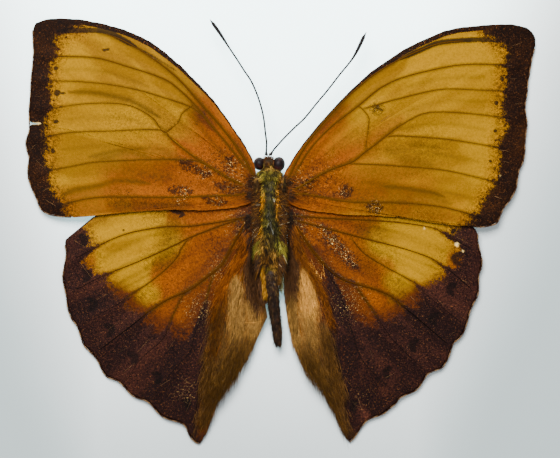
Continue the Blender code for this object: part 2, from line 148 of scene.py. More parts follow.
# Antennae as (x, y, height) from the base to the tip.
LEFT_ANTENNA = (
    (-0.58, 7.38, 4.00), (-0.53, 8.33, 4.10), (-0.50, 9.33, 4.20), (-0.67, 10.67, 4.25), (-0.92, 12.83, 4.25),
    (-1.33, 14.67, 4.20), (-2.00, 16.67, 4.10), (-2.83, 18.50, 4.00), (-3.83, 20.00, 3.90),
    (-5.00, 21.83, 3.75), (-6.05, 23.40, 3.65), (-7.25, 25.27, 3.50), (-8.10, 26.50, 3.40),
    (-8.95, 27.67, 3.30))
RIGHT_ANTENNA = (
    (0.08, 7.45, 4.00), (0.67, 8.33, 4.10), (2.00, 9.83, 4.20), (3.67, 11.50, 4.25), (5.17, 12.92, 4.25),
    (7.00, 15.17, 4.20), (8.67, 17.17, 4.10), (10.33, 19.33, 4.00), (12.00, 21.38, 3.85),
    (12.83, 22.67, 3.75), (13.50, 24.00, 3.60), (14.00, 25.08, 3.50), (14.37, 25.75, 3.45))

# Legs of the right side as (x, y, height, radius); the left side mirrors them.
FORELEG = ((0.85, 4.55, 0.95, 0.18), (1.30, 5.60, 0.85, 0.20), (0.95, 6.35, 0.60, 0.14),
           (0.90, 7.10, 0.35, 0.08))
MIDLEG = ((2.45, 1.20, 1.40, 0.24), (3.00, -0.20, 1.35, 0.26), (3.65, -1.60, 1.20, 0.18),
          (3.50, 0.30, 0.75, 0.15), (3.30, 2.10, 0.45, 0.12), (2.95, 4.20, 0.25, 0.09))
HINDLEG = ((2.50, -2.60, 1.40, 0.24), (3.00, -4.40, 1.30, 0.27), (3.50, -6.20, 1.10, 0.18),
           (3.45, -8.20, 0.75, 0.15), (3.20, -10.20, 0.45, 0.12), (2.80, -12.60, 0.25, 0.09))
PALP = ((0.22, 7.42, 2.10, 0.14), (0.24, 7.55, 2.70, 0.17), (0.22, 7.52, 3.30, 0.14),
        (0.18, 7.46, 3.62, 0.07))
PALP_MIDDLE = -0.24

# Cross-sections of the thorax: y, middle x, half width, belly height and back height.
THORAX_SECTIONS = (
    (4.60, -0.10, 1.15, 1.70, 4.30), (4.20, -0.10, 1.60, 1.05, 4.75), (3.40, -0.05, 1.88, 0.45, 5.15),
    (2.20, -0.02, 2.00, 0.00, 5.45), (0.40, 0.00, 2.00, 0.00, 5.60), (-1.60, 0.00, 2.00, 0.00, 5.60),
    (-3.60, 0.00, 2.10, 0.00, 5.45), (-5.20, 0.00, 2.25, 0.00, 5.20), (-6.60, 0.00, 2.25, 0.55, 4.85),
    (-7.90, 0.05, 1.75, 1.10, 4.40), (-8.90, 0.15, 1.45, 1.55, 4.05), (-9.50, 0.20, 1.00, 2.00, 3.65))

# Cross-sections of the abdomen: y, middle x, middle height and radius.
ABDOMEN_SECTIONS = (
    (-9.80, 0.22, 2.85, 0.85), (-10.30, 0.24, 2.82, 1.10), (-11.50, 0.26, 2.75, 1.12),
    (-13.00, 0.36, 2.60, 1.05), (-15.00, 0.58, 2.35, 0.90), (-17.00, 0.85, 2.10, 0.82),
    (-19.00, 1.08, 1.85, 0.70),
    (-20.30, 1.20, 1.70, 0.52), (-21.05, 1.28, 1.60, 0.22))


# Shapes

def step(low, high, value):
    """0 below low, 1 above high and a smooth rise between them."""
    share = np.clip((value - low) / (high - low), 0.0, 1.0)
    return share * share * (3.0 - 2.0 * share)


def unit(vectors):
    """The same directions with a length of 1."""
    return vectors / np.linalg.norm(vectors, axis=-1)[..., None]


def turned(x, y, degrees):
    """Coordinates turned about the origin, anticlockwise."""
    angle = math.radians(degrees)
    return x * math.cos(angle) - y * math.sin(angle), x * math.sin(angle) + y * math.cos(angle)


def run_along(path):
    """How far along a path each of its points is."""
    return np.concatenate([[0.0], np.cumsum(np.linalg.norm(np.diff(path, axis=0), axis=1))])


def smooth_path(points, count):
    """A Catmull-Rom curve through the points, with its own points spread evenly along it."""
    knots = np.asarray(points, float)
    ends = np.vstack([2.0 * knots[0] - knots[1], knots, 2.0 * knots[-1] - knots[-2]])
    before, start, finish, after = ends[:-3], ends[1:-2], ends[2:-1], ends[3:]
    t = np.linspace(0.0, 1.0, 16, endpoint=False)[None, :, None]
    parts = [2.0 * start, finish - before, 2.0 * before - 5.0 * start + 4.0 * finish - after,
             3.0 * start - before - 3.0 * finish + after]
    curve = 0.5 * sum(part[:, None, :] * t ** power for power, part in enumerate(parts))
    curve = np.vstack([curve.reshape(-1, knots.shape[1]), knots[-1]])
    run = run_along(curve)
    places = np.linspace(0.0, run[-1], count)
    return np.column_stack([np.interp(places, run, column) for column in curve.T])


def nearest(points, path):
    """For each point: its distance to a path, its side of it, and the share of the path up to there."""
    path = np.asarray(path, float)
    best = np.full(len(points), 1e9)
    side = np.ones(len(points))
    along = np.zeros(len(points))
    run = run_along(path)
    for index, (a, b) in enumerate(zip(path[:-1], path[1:])):
        edge = b - a
        reach = points - a
        share = np.clip(reach @ edge / max(edge @ edge, 1e-12), 0.0, 1.0)
        gap = np.linalg.norm(reach - share[:, None] * edge, axis=1)
        closer = gap < best
        best[closer] = gap[closer]
        turned = edge[0] * reach[:, 1] - edge[1] * reach[:, 0]
        side[closer] = np.where(turned[closer] < 0.0, -1.0, 1.0)
        along[closer] = (run[index] + share[closer] * (run[index + 1] - run[index])) / run[-1]
    return best, side, along


def cloud(across, along, seed):
    """Random values from 0 to 1 on a square lattice, joined smoothly."""
    table = np.random.default_rng(seed).random((64, 64))
    left, low = np.floor(across).astype(int), np.floor(along).astype(int)
    x, y = step(0.0, 1.0, across - left), step(0.0, 1.0, along - low)
    near = table[left % 64, low % 64] * (1.0 - x) + table[(left + 1) % 64, low % 64] * x
    far = table[left % 64, (low + 1) % 64] * (1.0 - x) + table[(left + 1) % 64, (low + 1) % 64] * x
    return near * (1.0 - y) + far * y


def grid_faces(rows, columns, wrap=False):
    """Four-cornered faces between neighbouring points of a grid; wrap joins the last column to the first."""
    index = np.arange(rows * columns).reshape(rows, columns)
    if wrap:
        index = np.hstack([index, index[:, :1]])
    return np.column_stack([index[:-1, :-1].ravel(), index[:-1, 1:].ravel(), index[1:, 1:].ravel(),
                            index[1:, :-1].ravel()])


def make_piece(name, points, quads, triangles, material, slot, replaced=(), numbers=None, colours=None):
    """A mesh object from arrays, with its attributes, its material and its place in the frame."""
    mesh = bpy.data.meshes.new(name)
    mesh.vertices.add(len(points))
    mesh.vertices.foreach_set("co", (np.asarray(points, float) * MM).ravel())
    quads = np.asarray(quads, int).reshape(-1, 4)
    triangles = np.asarray(triangles, int).reshape(-1, 3)
    sizes = np.concatenate([np.full(len(quads), 4), np.full(len(triangles), 3)])
    corners = np.concatenate([quads.ravel(), triangles.ravel()])
    mesh.loops.add(len(corners))
    mesh.loops.foreach_set("vertex_index", corners)
    mesh.polygons.add(len(sizes))
    mesh.polygons.foreach_set("loop_start", np.concatenate([[0], np.cumsum(sizes)[:-1]]))
    mesh.update(calc_edges=True)
    mesh.shade_smooth()
    for title, values in (numbers or {}).items():
        mesh.attributes.new(title, "FLOAT", "POINT").data.foreach_set("value", np.asarray(values, float))
    for title, values in (colours or {}).items():
        filled = np.column_stack([values, np.ones(len(points))])
        mesh.attributes.new(title, "FLOAT_COLOR", "POINT").data.foreach_set("color", filled.ravel())
    piece = bpy.data.objects.new(name, mesh)
    bpy.context.collection.objects.link(piece)
    piece.data.materials.append(material)
    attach(piece, "root")
    if replaced:
        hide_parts(*replaced)
    return piece


def rings_to_body(rings):
    """A closed body from rings of points: quads between rings and a fan of triangles over each end."""
    rings = np.asarray(rings, float)
    count, sides, _ = rings.shape
    points = np.vstack([rings.reshape(-1, 3), rings[0].mean(axis=0), rings[-1].mean(axis=0)])
    here = np.arange(sides)
    following = np.roll(here, -1)
    first, last = count * sides, count * sides + 1
    near = np.column_stack([np.full(sides, first), following, here])
    far = np.column_stack([np.full(sides, last), here + (count - 1) * sides, following + (count - 1) * sides])
    return points, grid_faces(count, sides, wrap=True), np.vstack([near, far])


def swept_rings(path, radii, sides=12):
    """Round rings carried along a path, each square to it."""
    path = np.asarray(path, float)
    heading = unit(np.gradient(path, axis=0))
    helper = np.where(np.abs(heading[:, 2:3]) > 0.9, [[1.0, 0.0, 0.0]], [[0.0, 0.0, 1.0]])
    across = unit(np.cross(helper, heading))[:, None, :]
    lift = np.cross(heading, across[:, 0])[:, None, :]
    angle = np.linspace(0.0, 2.0 * math.pi, sides, endpoint=False)[None, :, None]
    radii = np.broadcast_to(np.asarray(radii, float), (len(path),))[:, None, None]
    return path[:, None, :] + radii * (np.cos(angle) * across + np.sin(angle) * lift)


STRAND_POINTS = 7
STRAND_MIDDLE = 0.55


def strands(roots, aims, bends, radius):
    """Hairs as thin three-sided spikes: root + t * aim + t * t * bend, narrowing to a point."""
    count = len(roots)
    heading = unit(aims)
    helper = np.where(np.abs(heading[:, 2:3]) > 0.9, [[1.0, 0.0, 0.0]], [[0.0, 0.0, 1.0]])
    across = unit(np.cross(heading, helper))
    lift = np.cross(heading, across)
    radius = np.broadcast_to(np.asarray(radius, float), (count,))[:, None]
    corners = []
    for share in (0.0, STRAND_MIDDLE):
        middle = roots + share * aims + share * share * bends
        for turn in (math.pi / 2.0, math.pi * 7.0 / 6.0, math.pi * 11.0 / 6.0):
            out = math.cos(turn) * across + math.sin(turn) * lift
            corners.append(middle + radius * (1.0 - 0.6 * share) * out)
    corners.append(roots + aims + bends)
    points = np.stack(corners, axis=1).reshape(-1, 3)
    base = np.arange(count)[:, None] * STRAND_POINTS
    quads = [base + np.array([[s, (s + 1) % 3, 3 + (s + 1) % 3, 3 + s]]) for s in range(3)]
    triangles = [base + np.array([corner]) for corner in ([3, 4, 6], [4, 5, 6], [5, 3, 6], [2, 1, 0])]
    along = np.tile(np.repeat([0.0, STRAND_MIDDLE, 1.0], [3, 3, 1]), count)
    return points, np.vstack(quads), np.vstack(triangles), along


# Materials

class Wire:
    """One socket of a shader tree, on which + - and * add Math nodes."""

    def __init__(self, finish, socket):
        self.finish = finish
        self.socket = socket

    def _math(self, operation, first, second):
        return self.finish.node("ShaderNodeMath", {"operation": operation}, {0: first, 1: second})

    def __add__(self, other):
        return self._math("ADD", self, other)

    def __radd__(self, other):
        return self._math("ADD", other, self)

    def __sub__(self, other):
        return self._math("SUBTRACT", self, other)

    def __rsub__(self, other):
        return self._math("SUBTRACT", other, self)

    def __mul__(self, other):
        return self._math("MULTIPLY", self, other)

    def __rmul__(self, other):
        return self._math("MULTIPLY", other, self)


class Finish:
    """A material whose Principled shader is fed by Wires."""

    def __init__(self, name, **constants):
        self.material = bpy.data.materials.new(name)
        self.material.use_nodes = True
        self.tree = self.material.node_tree
        self.shader = self.tree.nodes["Principled BSDF"]
        for title, value in constants.items():
            self.shader.inputs[title.replace("_", " ").title().replace("Ior", "IOR")].default_value = value

    def node(self, kind, settings=None, inputs=None, output=0):
        """A node of the given type: its settings first, then a number, a colour or a Wire for each input."""
        made = self.tree.nodes.new(kind)
        for title, value in (settings or {}).items():
            setattr(made, title, value)
        for title, value in (inputs or {}).items():
            if isinstance(value, Wire):
                self.tree.links.new(value.socket, made.inputs[title])
            else:
                made.inputs[title].default_value = value
        return Wire(self, made.outputs[output])

    def number(self, title):
        return self.node("ShaderNodeAttribute", {"attribute_name": title}, output="Fac")

    def colour(self, title):
        return self.node("ShaderNodeAttribute", {"attribute_name": title}, output="Color")

    def place(self):
        return self.node("ShaderNodeTexCoord", output="Object")

    def coordinate(self, axis):
        return self.node("ShaderNodeSeparateXYZ", inputs={"Vector": self.place()}, output=axis)

    def noise(self, size, detail=2.0, roughness=0.5):
        """Cloudy noise from 0 to 1 with lumps of about the given size in millimetres."""
        return self.node("ShaderNodeTexNoise", inputs={
            "Vector": self.place(), "Scale": 1.0 / (size * MM), "Detail": detail, "Roughness": roughness})

    def cells(self, size):
        """The distance from the middle of each of many small cells, about the given size in millimetres."""
        return self.node("ShaderNodeTexVoronoi", inputs={"Vector": self.place(), "Scale": 1.0 / (size * MM)},
                         output="Distance")

    def limit(self, operation, value):
        """The larger (MAXIMUM) or the smaller (MINIMUM) of a value and zero."""
        return self.node("ShaderNodeMath", {"operation": operation}, {0: value, 1: 0.0})

    def rise(self, low, high, value):
        """0 below low, 1 above high and a smooth rise between them."""
        return self.node("ShaderNodeMapRange", {"interpolation_type": "SMOOTHSTEP"}, {
            "Value": value, "From Min": low, "From Max": high})

    def mix(self, first, second, share):
        """A colour between two, each a Wire or three numbers."""
        first, second = (colour if isinstance(colour, Wire) else (*colour, 1.0) for colour in (first, second))
        return self.node("ShaderNodeMix", {"data_type": "RGBA"}, {0: share, 6: first, 7: second}, output=2)

    def tint(self, colour, amount):
        """The colour made lighter or darker by a number around 1."""
        return self.node("ShaderNodeVectorMath", {"operation": "SCALE"}, {0: colour, "Scale": amount})

    def bump(self, height, depth, strength=1.0):
        """A bump whose highest and lowest points are about depth millimetres apart."""
        return self.node("ShaderNodeBump", inputs={
            "Height": height, "Distance": depth * MM, "Strength": strength})

    def wear(self, **links):
        """The finished material, with Wires on the shader's named inputs."""
        for title, value in links.items():
            socket = self.shader.inputs[title.replace("_", " ").title()]
            self.tree.links.new(value.socket, socket)
        return self.material


GOLD = (0.180, 0.087, 0.0)
GOLD_LIGHT = (0.204, 0.100, 0.0)
GOLD_DEEP = (0.118, 0.052, 0.0)
AMBER = (0.165, 0.060, 0.0)
ORANGE = (0.145, 0.034, 0.0)
FLAME = (0.245, 0.052, 0.0)
RUST = (0.045, 0.010, 0.0010)
OLIVE_SHADE = (0.030, 0.014, 0.0)
BORDER = (0.0046, 0.0014, 0.0005)
BORDER_STREAK = (0.210, 0.070, 0.016)
BORDER_WARM = (0.030, 0.0085, 0.0010)
HIND_DARK = (0.0062, 0.0021, 0.0019)
HIND_PLUM = (0.037, 0.0105, 0.0062)
INK = (0.0022, 0.0012, 0.0010)
GLOW = (0.235, 0.116, 0.0)
CREAM = (0.62, 0.42, 0.14)
BEIGE = (0.125, 0.062, 0.012)
SAND = (0.420, 0.185, 0.015)
HAIR_BROWN = (0.040, 0.018, 0.003)


SCALE_ROW = 0.55


def wing_finish(name, dark, dark_warm, ragged_edge):
    """Scaled wing membrane: gold to rust by attribute, streaks, painted shade and highlights, a ragged dark
    border and specks, some of them painted glints.
    """
    wing = Finish(name, Specular_Ior_Level=0.03)
    clouds = wing.noise(3.2, 3.0, 0.55)
    grain = wing.noise(0.22, 2.0, 0.65)
    ragged = wing.noise(0.50, 4.0, 0.75)
    fine = wing.noise(0.11, 1.0, 0.5)
    scaly = wing.rise(0.36, 0.64, wing.noise(0.34, 3.0, 0.75))
    streak = wing.number("streak")
    rubbed_glints = wing.number("rubbed_glints")
    dust = wing.number("dust")
    warm = wing.rise(0.0, 1.0, wing.number("warm") + (clouds - 0.5) * 0.45 + (grain - 0.5) * 0.35)
    gold = wing.mix(GOLD_DEEP, GOLD, wing.rise(0.26, 0.56, streak * 0.60 + clouds * 0.22 + grain * 0.18))
    gold = wing.mix(gold, GOLD_LIGHT, wing.rise(0.46, 0.76, streak * 0.60 + clouds * 0.15 + grain * 0.25))
    amber = wing.rise(-2.6, 0.2, wing.number("border") + (grain - 0.5) * 1.5)
    gold = wing.mix(gold, AMBER, amber * 0.55)
    orange = wing.mix(RUST, ORANGE, wing.rise(0.25, 0.62, streak * 0.30 + ragged * 0.35 + grain * 0.35))
    colour = wing.mix(gold, orange, warm)
    colour = wing.mix(colour, FLAME, wing.rise(0.0, 1.0, wing.number("flame") + (grain - 0.5) * 0.5))
    rust = wing.rise(0.0, 1.0, wing.number("rust") + (grain - 0.5) * 0.6 + (ragged - 0.5) * 0.4)
    colour = wing.mix(colour, RUST, rust)
    # Painted shade: olive darkening in the folds, beside the veins and where the wings overlap.
    colour = wing.mix(colour, OLIVE_SHADE, wing.rise(0.0, 1.3, wing.number("painted_shade") + (grain - 0.5) * 0.20))
    # Painted highlights along the pleats and broad painted sheen, with a few pale scratches and threads among
    # them.
    colour = wing.mix(colour, GLOW, wing.rise(0.0, 1.6, wing.number("glow") * (0.65 + grain * 0.7)))
    beige = wing.mix(BEIGE, SAND, wing.rise(0.45, 0.95, grain * 0.7 + streak * 0.3))
    pale = wing.number("beige") + (grain - 0.5) * 0.5 + (ragged - 0.5) * 0.3
    colour = wing.mix(colour, beige, wing.rise(0.1, 1.0, pale))
    colour = wing.mix(colour, HAIR_BROWN, wing.rise(0.2, 0.8, wing.number("hairy") + (grain - 0.5) * 0.5))
    uneven = (ragged - 0.5) * 2.4 + (grain - 0.5) * 2.4 + (streak - 0.5)
    edge = wing.number("border") + uneven * ragged_edge
    border = wing.mix(dark, dark_warm, wing.rise(0.46, 0.68, streak * 0.30 + ragged * 0.35 + grain * 0.35))
    border = wing.mix(border, BORDER_STREAK, wing.rise(0.58, 0.72, grain * 0.70 + fine * 0.30) * 0.60)
    colour = wing.mix(colour, border, wing.rise(-0.40, 0.40, edge))
    colour = wing.mix(colour, border, wing.rise(-0.05, 0.05, wing.number("rim") + (grain - 0.5) * 0.25))
    # Dark spots, and at one hindwing's front edge a painted shadow.
    spots_and_shadow = wing.rise(0.36, 0.74, wing.number("spots_and_shadow") + (ragged - 0.5) * 0.5 + (grain - 0.5) * 0.35)
    colour = wing.mix(colour, INK, spots_and_shadow * 0.86)
    mottle = wing.rise(0.53, 0.62, ragged * 0.6 + grain * 0.4 + dust * 0.07)
    colour = wing.mix(colour, dark, mottle * wing.rise(0.1, 1.0, dust) * 0.85)
    pits = wing.rise(0.60, 0.68, 1.0 - (fine * 0.3 + grain * 0.7) + wing.rise(0.0, 0.7, dust) * 0.115 - 0.035)
    colour = wing.mix(colour, INK, pits * wing.rise(-0.10, 0.8, dust) * 0.75)
    # Painted glints: cream specks of scales catching the light, placed where the scales are rubbed.
    glint_flecks = wing.rise(0.63, 0.71, fine * 0.5 + grain * 0.5 + rubbed_glints * 0.06 - 0.04)
    colour = wing.mix(colour, CREAM, glint_flecks * wing.rise(0.0, 1.1, rubbed_glints) * 0.65)
    colour = wing.mix(colour, CREAM, wing.rise(0.20, 0.9, wing.number("pale") + (grain - 0.5) * 0.8) * 0.75)
    colour = wing.tint(colour, 0.88 - dust * 0.26 + scaly * (0.12 + dust * 0.70) + grain * 0.16)
    scales = wing.node("ShaderNodeTexWave", {"wave_type": "BANDS", "bands_direction": "DIAGONAL"}, {
        "Vector": wing.place(), "Scale": 1.0 / (SCALE_ROW * MM), "Distortion": 6.0, "Detail": 2.0,
        "Detail Scale": 1.5})
    relief = wing.bump(scales * 0.3 + grain * 0.9 + dust * ragged * 1.5, 0.06, 0.6)
    return wing.wear(Base_Color=colour, Roughness=0.46 + grain * 0.26, Normal=relief)


def vein_finish(name):
    """Veins: the membrane's colour at their place, darker, with the border's brown where they cross it."""
    vein = Finish(name, Specular_Ior_Level=0.02)
    grain = vein.noise(0.3, 2.0, 0.6)
    tone = vein.tint(vein.colour("tone"), 0.75 + grain * 0.5)
    return vein.wear(Base_Color=tone, Roughness=0.42 + grain * 0.2)


def hair_finish(name, roughness=0.62):
    """Hair and scales: each strand's own colour, darker at its root and varied by fine noise."""
    hair = Finish(name, Specular_Ior_Level=0.12)
    grain = hair.noise(0.3, 2.0, 0.6)
    tone = hair.tint(hair.colour("tone"), 0.45 + hair.number("along") * 0.55 + grain * 0.35)
    return hair.wear(Base_Color=tone, Roughness=roughness - 0.15 + grain * 0.3)


def horn_finish(name, light, dark, size, depth, roughness):
    """Horny skin: two tones in cloudy noise with a fine bump."""
    horn = Finish(name, Specular_Ior_Level=0.18)
    clouds = horn.noise(size, 3.0, 0.6)
    tone = horn.mix(dark, light, horn.rise(0.3, 0.7, clouds))
    relief = horn.bump(horn.noise(size * 0.3, 2.0, 0.6), depth, 0.6)
    return horn.wear(Base_Color=tone, Roughness=roughness + clouds * 0.2, Normal=relief)


def eye_finish():
    """Compound eye: near black with a brown bloom and rows of tiny round facets."""
    eye = Finish("eye_brown", Specular_Ior_Level=0.07)
    bloom = eye.noise(1.1, 2.0, 0.5)
    facets = eye.cells(0.07)
    tone = eye.mix((0.004, 0.002, 0.002), (0.034, 0.009, 0.006), eye.rise(0.40, 0.70, bloom))
    relief = eye.bump(1.0 - facets, 0.02, 0.5)
    return eye.wear(Base_Color=tone, Roughness=0.38 + bloom * 0.15, Normal=relief)


FOREWING_FINISH = wing_finish("wing_ochre", BORDER, BORDER_WARM, 1.44)
HINDWING_FINISH = wing_finish("wing_brown", HIND_DARK, HIND_PLUM, 1.7)
VEIN_FINISH = vein_finish("wing_vein")
HAIR_FINISH = hair_finish("body_hair")
SKIN_FINISH = horn_finish("body_skin", (0.028, 0.020, 0.005), (0.007, 0.004, 0.002), 0.8, 0.05, 0.6)
ABDOMEN_FINISH = horn_finish("abdomen_brown", (0.024, 0.011, 0.005), (0.006, 0.003, 0.002), 0.45, 0.06, 0.5)
LEG_FINISH = horn_finish("leg_brown", (0.075, 0.035, 0.010), (0.025, 0.010, 0.004), 0.6, 0.02, 0.4)
ANTENNA_FINISH = horn_finish("antenna_black", (0.004, 0.002, 0.002), (0.002, 0.001, 0.001), 0.4, 0.006, 0.75)
EYE_FINISH = eye_finish()


# Wings

def forewing_height(points):
    reach = np.where(points[:, 0] < 0.0, LEFT_REACH, RIGHT_REACH)
    return FOREWING_ROOT_HEIGHT - WING_DROOP * (points[:, 0] / reach) ** 2


def hindwing_height(points):
    x, y = points[:, 0], points[:, 1]
    reach = np.where(x < 0.0, LEFT_REACH, RIGHT_REACH)
    beside = np.exp(-((np.abs(x) - GUTTER_CENTRE) / GUTTER_WIDTH) ** 2)
    gutter = GUTTER_DEPTH * beside * step(-GUTTER_START, -GUTTER_FULL, -y)
    tail = TAIL_DROOP * (np.minimum(y, 0.0) / TAIL_REACH) ** 2
    return HINDWING_ROOT_HEIGHT - WING_DROOP * (x / reach) ** 2 - tail - gutter


FRINGE_PALE = (0.16, 0.085, 0.035)
MEMBRANE_HALF = 0.055
FRINGE_LENGTH = 0.22
FRINGE_RADIUS = 0.045
WING_COLUMNS = 440
WING_ROWS = 108


def add_hair(name, roots, aims, bends, radius, tones, slot):
    """One mesh of hairs, each with its own colour."""
    points, quads, triangles, along = strands(roots, aims, bends, radius)
    colours = {"tone": np.repeat(np.clip(tones, 0.0, 1.0), STRAND_POINTS, axis=0)}
    make_piece(name, points, quads, triangles, HAIR_FINISH, slot, (), {"along": along}, colours)


def inset_outline(outline, inset):
    """The outline moved inwards by the given distance, square to itself."""
    heading = np.gradient(outline, axis=0)
    heading /= np.linalg.norm(heading, axis=1)[:, None] + 1e-12
    normal = np.column_stack([-heading[:, 1], heading[:, 0]])
    middle = outline.mean(axis=0)
    if np.sum(normal * (middle - outline)) < 0.0:
        normal = -normal
    return outline + normal * inset


LAYERS = ("warm", "rust", "spots_and_shadow", "painted_shade", "glow", "beige", "hairy", "rubbed_glints", "dust", "flame", "deep", "pale")


class Wing:
    """One wing: its outline, height, veins and painted marks, and the meshes made from them."""

    def __init__(self, node, root, costa, margin, rest, height, veins, marks, tear=None):
        self.node = node
        self.side = -1.0 if node.startswith("left") else 1.0
        self.root = np.array(root)
        self.costa = np.array(costa)
        self.margin = np.array(margin)
        self.height = height
        self.veins = veins
        self.marks = marks
        corners = [np.array(costa), self.margin, np.array(rest)]
        if tear is not None:
            tip, half = np.array(tear[0]), tear[1]
            edge_x = np.interp(-tip[1], -self.margin[:, 1], self.margin[:, 0])
            lips = [[edge_x, tip[1] + half], [tip[0] - 0.8, tip[1] + half * 0.45], tip,
                    [tip[0] - 0.8, tip[1] - half * 0.45], [edge_x, tip[1] - half]]
            above = self.margin[self.margin[:, 1] > tip[1] + half]
            below = self.margin[self.margin[:, 1] < tip[1] - half]
            corners[1] = np.vstack([above, lips, below])
        self.outline = np.vstack(corners)

    def sheet_points(self):
        """Rays from the root line to the outline; near the outer margin they bend until they run sideways."""
        rough = self.outline
        run = run_along(rough)
        places = np.linspace(0.0, run[-1], WING_COLUMNS)
        edge = np.column_stack([np.interp(places, run, column) for column in rough.T])
        edge += 0.035 * np.sin(places * 3.1)[:, None] * np.sin(places * 1.3)[:, None]
        distance, _, _ = nearest(edge, self.margin)
        on_margin = step(0.6, 0.0, distance)
        edge = inset_outline(edge, 0.02 + FRINGE_LENGTH * 0.7 * on_margin[:, None])
        shares = np.interp(places, run, np.linspace(0.0, 1.0, len(run)))[:, None]
        inner = self.root[0] * (1.0 - shares) + self.root[1] * shares
        toward = np.linalg.norm(edge - inner, axis=1)[:, None]
        straight = inner + 0.5 * (edge - inner)
        sideways = edge - np.array([self.side, 0.0]) * toward * 0.24
        if "hind" in self.node:
            sideways = edge + (inner - edge) * 0.5
        bend = step(0.0, 0.10, shares) * on_margin[:, None]
        bend = np.convolve(np.pad(bend[:, 0], 12, mode="edge"), np.ones(25) / 25.0, mode="valid")[:, None]
        control = straight + (sideways - straight) * bend
        t = np.linspace(0.0, 1.0, WING_ROWS)[:, None, None]
        return inner * (1.0 - t) ** 2 + 2.0 * t * (1.0 - t) * control + edge * t * t

    def relief(self, flat):
        """Gentle pleats: ridges on the veins, shallow troughs between them, and a slow buckle."""
        ridge = np.full(len(flat), 9.0)
        for _, path in self.veins:
            ridge = np.minimum(ridge, nearest(flat, smooth_path(path, 10))[0])
        buckle = np.sin(flat[:, 0] * 0.55 + 0.4) * np.sin(flat[:, 1] * 0.48 + 1.1)
        return 0.11 * np.exp(-(ridge / 0.9) ** 2) - 0.04 + 0.045 * buckle

    def border(self, flat):
        """How far inside the dark border each point is, in millimetres; less than zero outside it."""
        gap, side, _ = nearest(flat, smooth_path(self.marks["limit"], 110))
        return gap * side * self.side

    def rim(self, flat):
        return self.marks["edge_width"](flat) - nearest(flat, self.costa)[0]

    def paint(self, flat):
        """Every layer of marks as one number a point: each stroke fades with the distance from its path."""
        layers = {title: np.full(len(flat), self.marks["base"].get(title, 0.0)) for title in LAYERS}
        for title, strokes in self.marks["strokes"].items():
            for width, strength, path in strokes:
                path = np.asarray(path, float)
                if len(path) == 1:
                    gap = np.linalg.norm(flat - path[0], axis=1)
                    stroke = strength * np.exp(-(gap / width) ** 2)
                else:
                    curve = smooth_path(path, max(4, 3 * len(path)))
                    gap, _, along = nearest(flat, curve)
                    ends = step(0.0, 0.12, along) * step(1.0, 0.88, along) * 0.5 + 0.5
                    stroke = strength * np.exp(-(gap / (width * ends)) ** 2)
                if strength < 0.0 or title in ("warm", "rust"):
                    layers[title] += stroke
                else:
                    layers[title] = np.maximum(layers[title], stroke)
        # Painted shade along both sides of every vein.
        for (start, _), path in self.veins:
            gap = nearest(flat, smooth_path(path, 14))[0]
            layers["painted_shade"] = np.maximum(layers["painted_shade"], 0.85 * np.exp(-(gap / (2.8 * start)) ** 2))
        border = self.border(flat)
        for _, path in self.veins:
            gap = nearest(flat, smooth_path(path, 14))[0]
            border = border + self.marks["teeth"] * np.exp(-(gap / 0.42) ** 2)
        near_border = np.exp(-(np.minimum(border, 0.0) / 2.1) ** 2)
        layers["dust"] = np.maximum(layers["dust"], 0.75 * near_border)
        layers["rust"] += self.marks["border_rust"](flat) * np.exp(-(np.minimum(border, 0.0) / 2.6) ** 2)
        layers["border"] = border
        layers["rim"] = self.rim(flat)
        return layers

    def build(self, finish, slot):
        grid = self.sheet_points()
        rows, columns, _ = grid.shape
        flat = grid.reshape(-1, 2)
        middle = self.height(flat) + self.relief(flat)
        top = np.column_stack([flat, middle + MEMBRANE_HALF])
        on_edge = np.zeros((rows, columns), bool)
        on_edge[[0, -1], :] = True
        on_edge[:, [0, -1]] = True
        on_edge = on_edge.ravel()
        top[on_edge, 2] -= MEMBRANE_HALF
        inside = ~on_edge
        bottom = top[inside] - np.array([0.0, 0.0, 2.0 * MEMBRANE_HALF])
        under = np.arange(rows * columns)
        under[inside] = rows * columns + np.arange(inside.sum())
        faces = grid_faces(rows, columns)
        a, b, c = top[faces[:, 0]], top[faces[:, 1]], top[faces[:, 2]]
        if np.cross(b - a, c - a)[:, 2].sum() < 0.0:
            faces = faces[:, ::-1]
        layers = self.paint(flat)
        across = np.broadcast_to(np.linspace(0.0, 1.0, columns)[None, :], (rows, columns)).ravel()
        along = np.broadcast_to(np.linspace(0.0, 1.0, rows)[:, None], (rows, columns)).ravel()
        seed = 5 + int(self.side) + 3 * ("hind" in self.node)
        broad, narrow = cloud(across * 22.0, along * 2.6, seed), cloud(across * 61.0, along * 7.0, seed)
        layers["streak"] = 0.6 * broad + 0.4 * narrow - 0.65 * layers.pop("deep")
        layers = {title: np.concatenate([values, values[inside]]) for title, values in layers.items()}
        quads = np.vstack([faces, under[faces][:, ::-1]])
        points = np.vstack([top, bottom])
        make_piece(self.node + "_sheet", points, quads, [], finish, slot, [self.node], layers)
        self.build_veins(slot)
        self.build_fringe(slot)

    def build_veins(self, slot):
        """Veins as slim tubes half sunk in the membrane, thinner towards the margin."""
        bodies, tones = [], []
        for (start, finish), path in self.veins:
            line = smooth_path(path, 64)
            middle = self.height(line) + self.relief(line)
            spine = np.column_stack([line, middle])
            shares = np.linspace(0.0, 1.0, 64)
            ends = step(0.0, 0.04, shares) * step(1.0, 0.94, shares)
            radii = (start + (finish - start) * shares) * (0.3 + 0.7 * ends)
            bodies.append(rings_to_body(swept_rings(spine, radii, 7)))
            share = step(-2.6, 0.4, self.border(line))[:, None]
            base = np.array(self.marks["vein_tone"]) * (1.0 - share) + np.array(INK) * share
            tones.append(np.vstack([np.repeat(base, 7, axis=0), base[:1], base[-1:]]))
        points, quads, triangles = join(bodies)
        make_piece(self.node + "_veins", points, quads, triangles, VEIN_FINISH, slot,
                   colours={"tone": np.vstack(tones)})

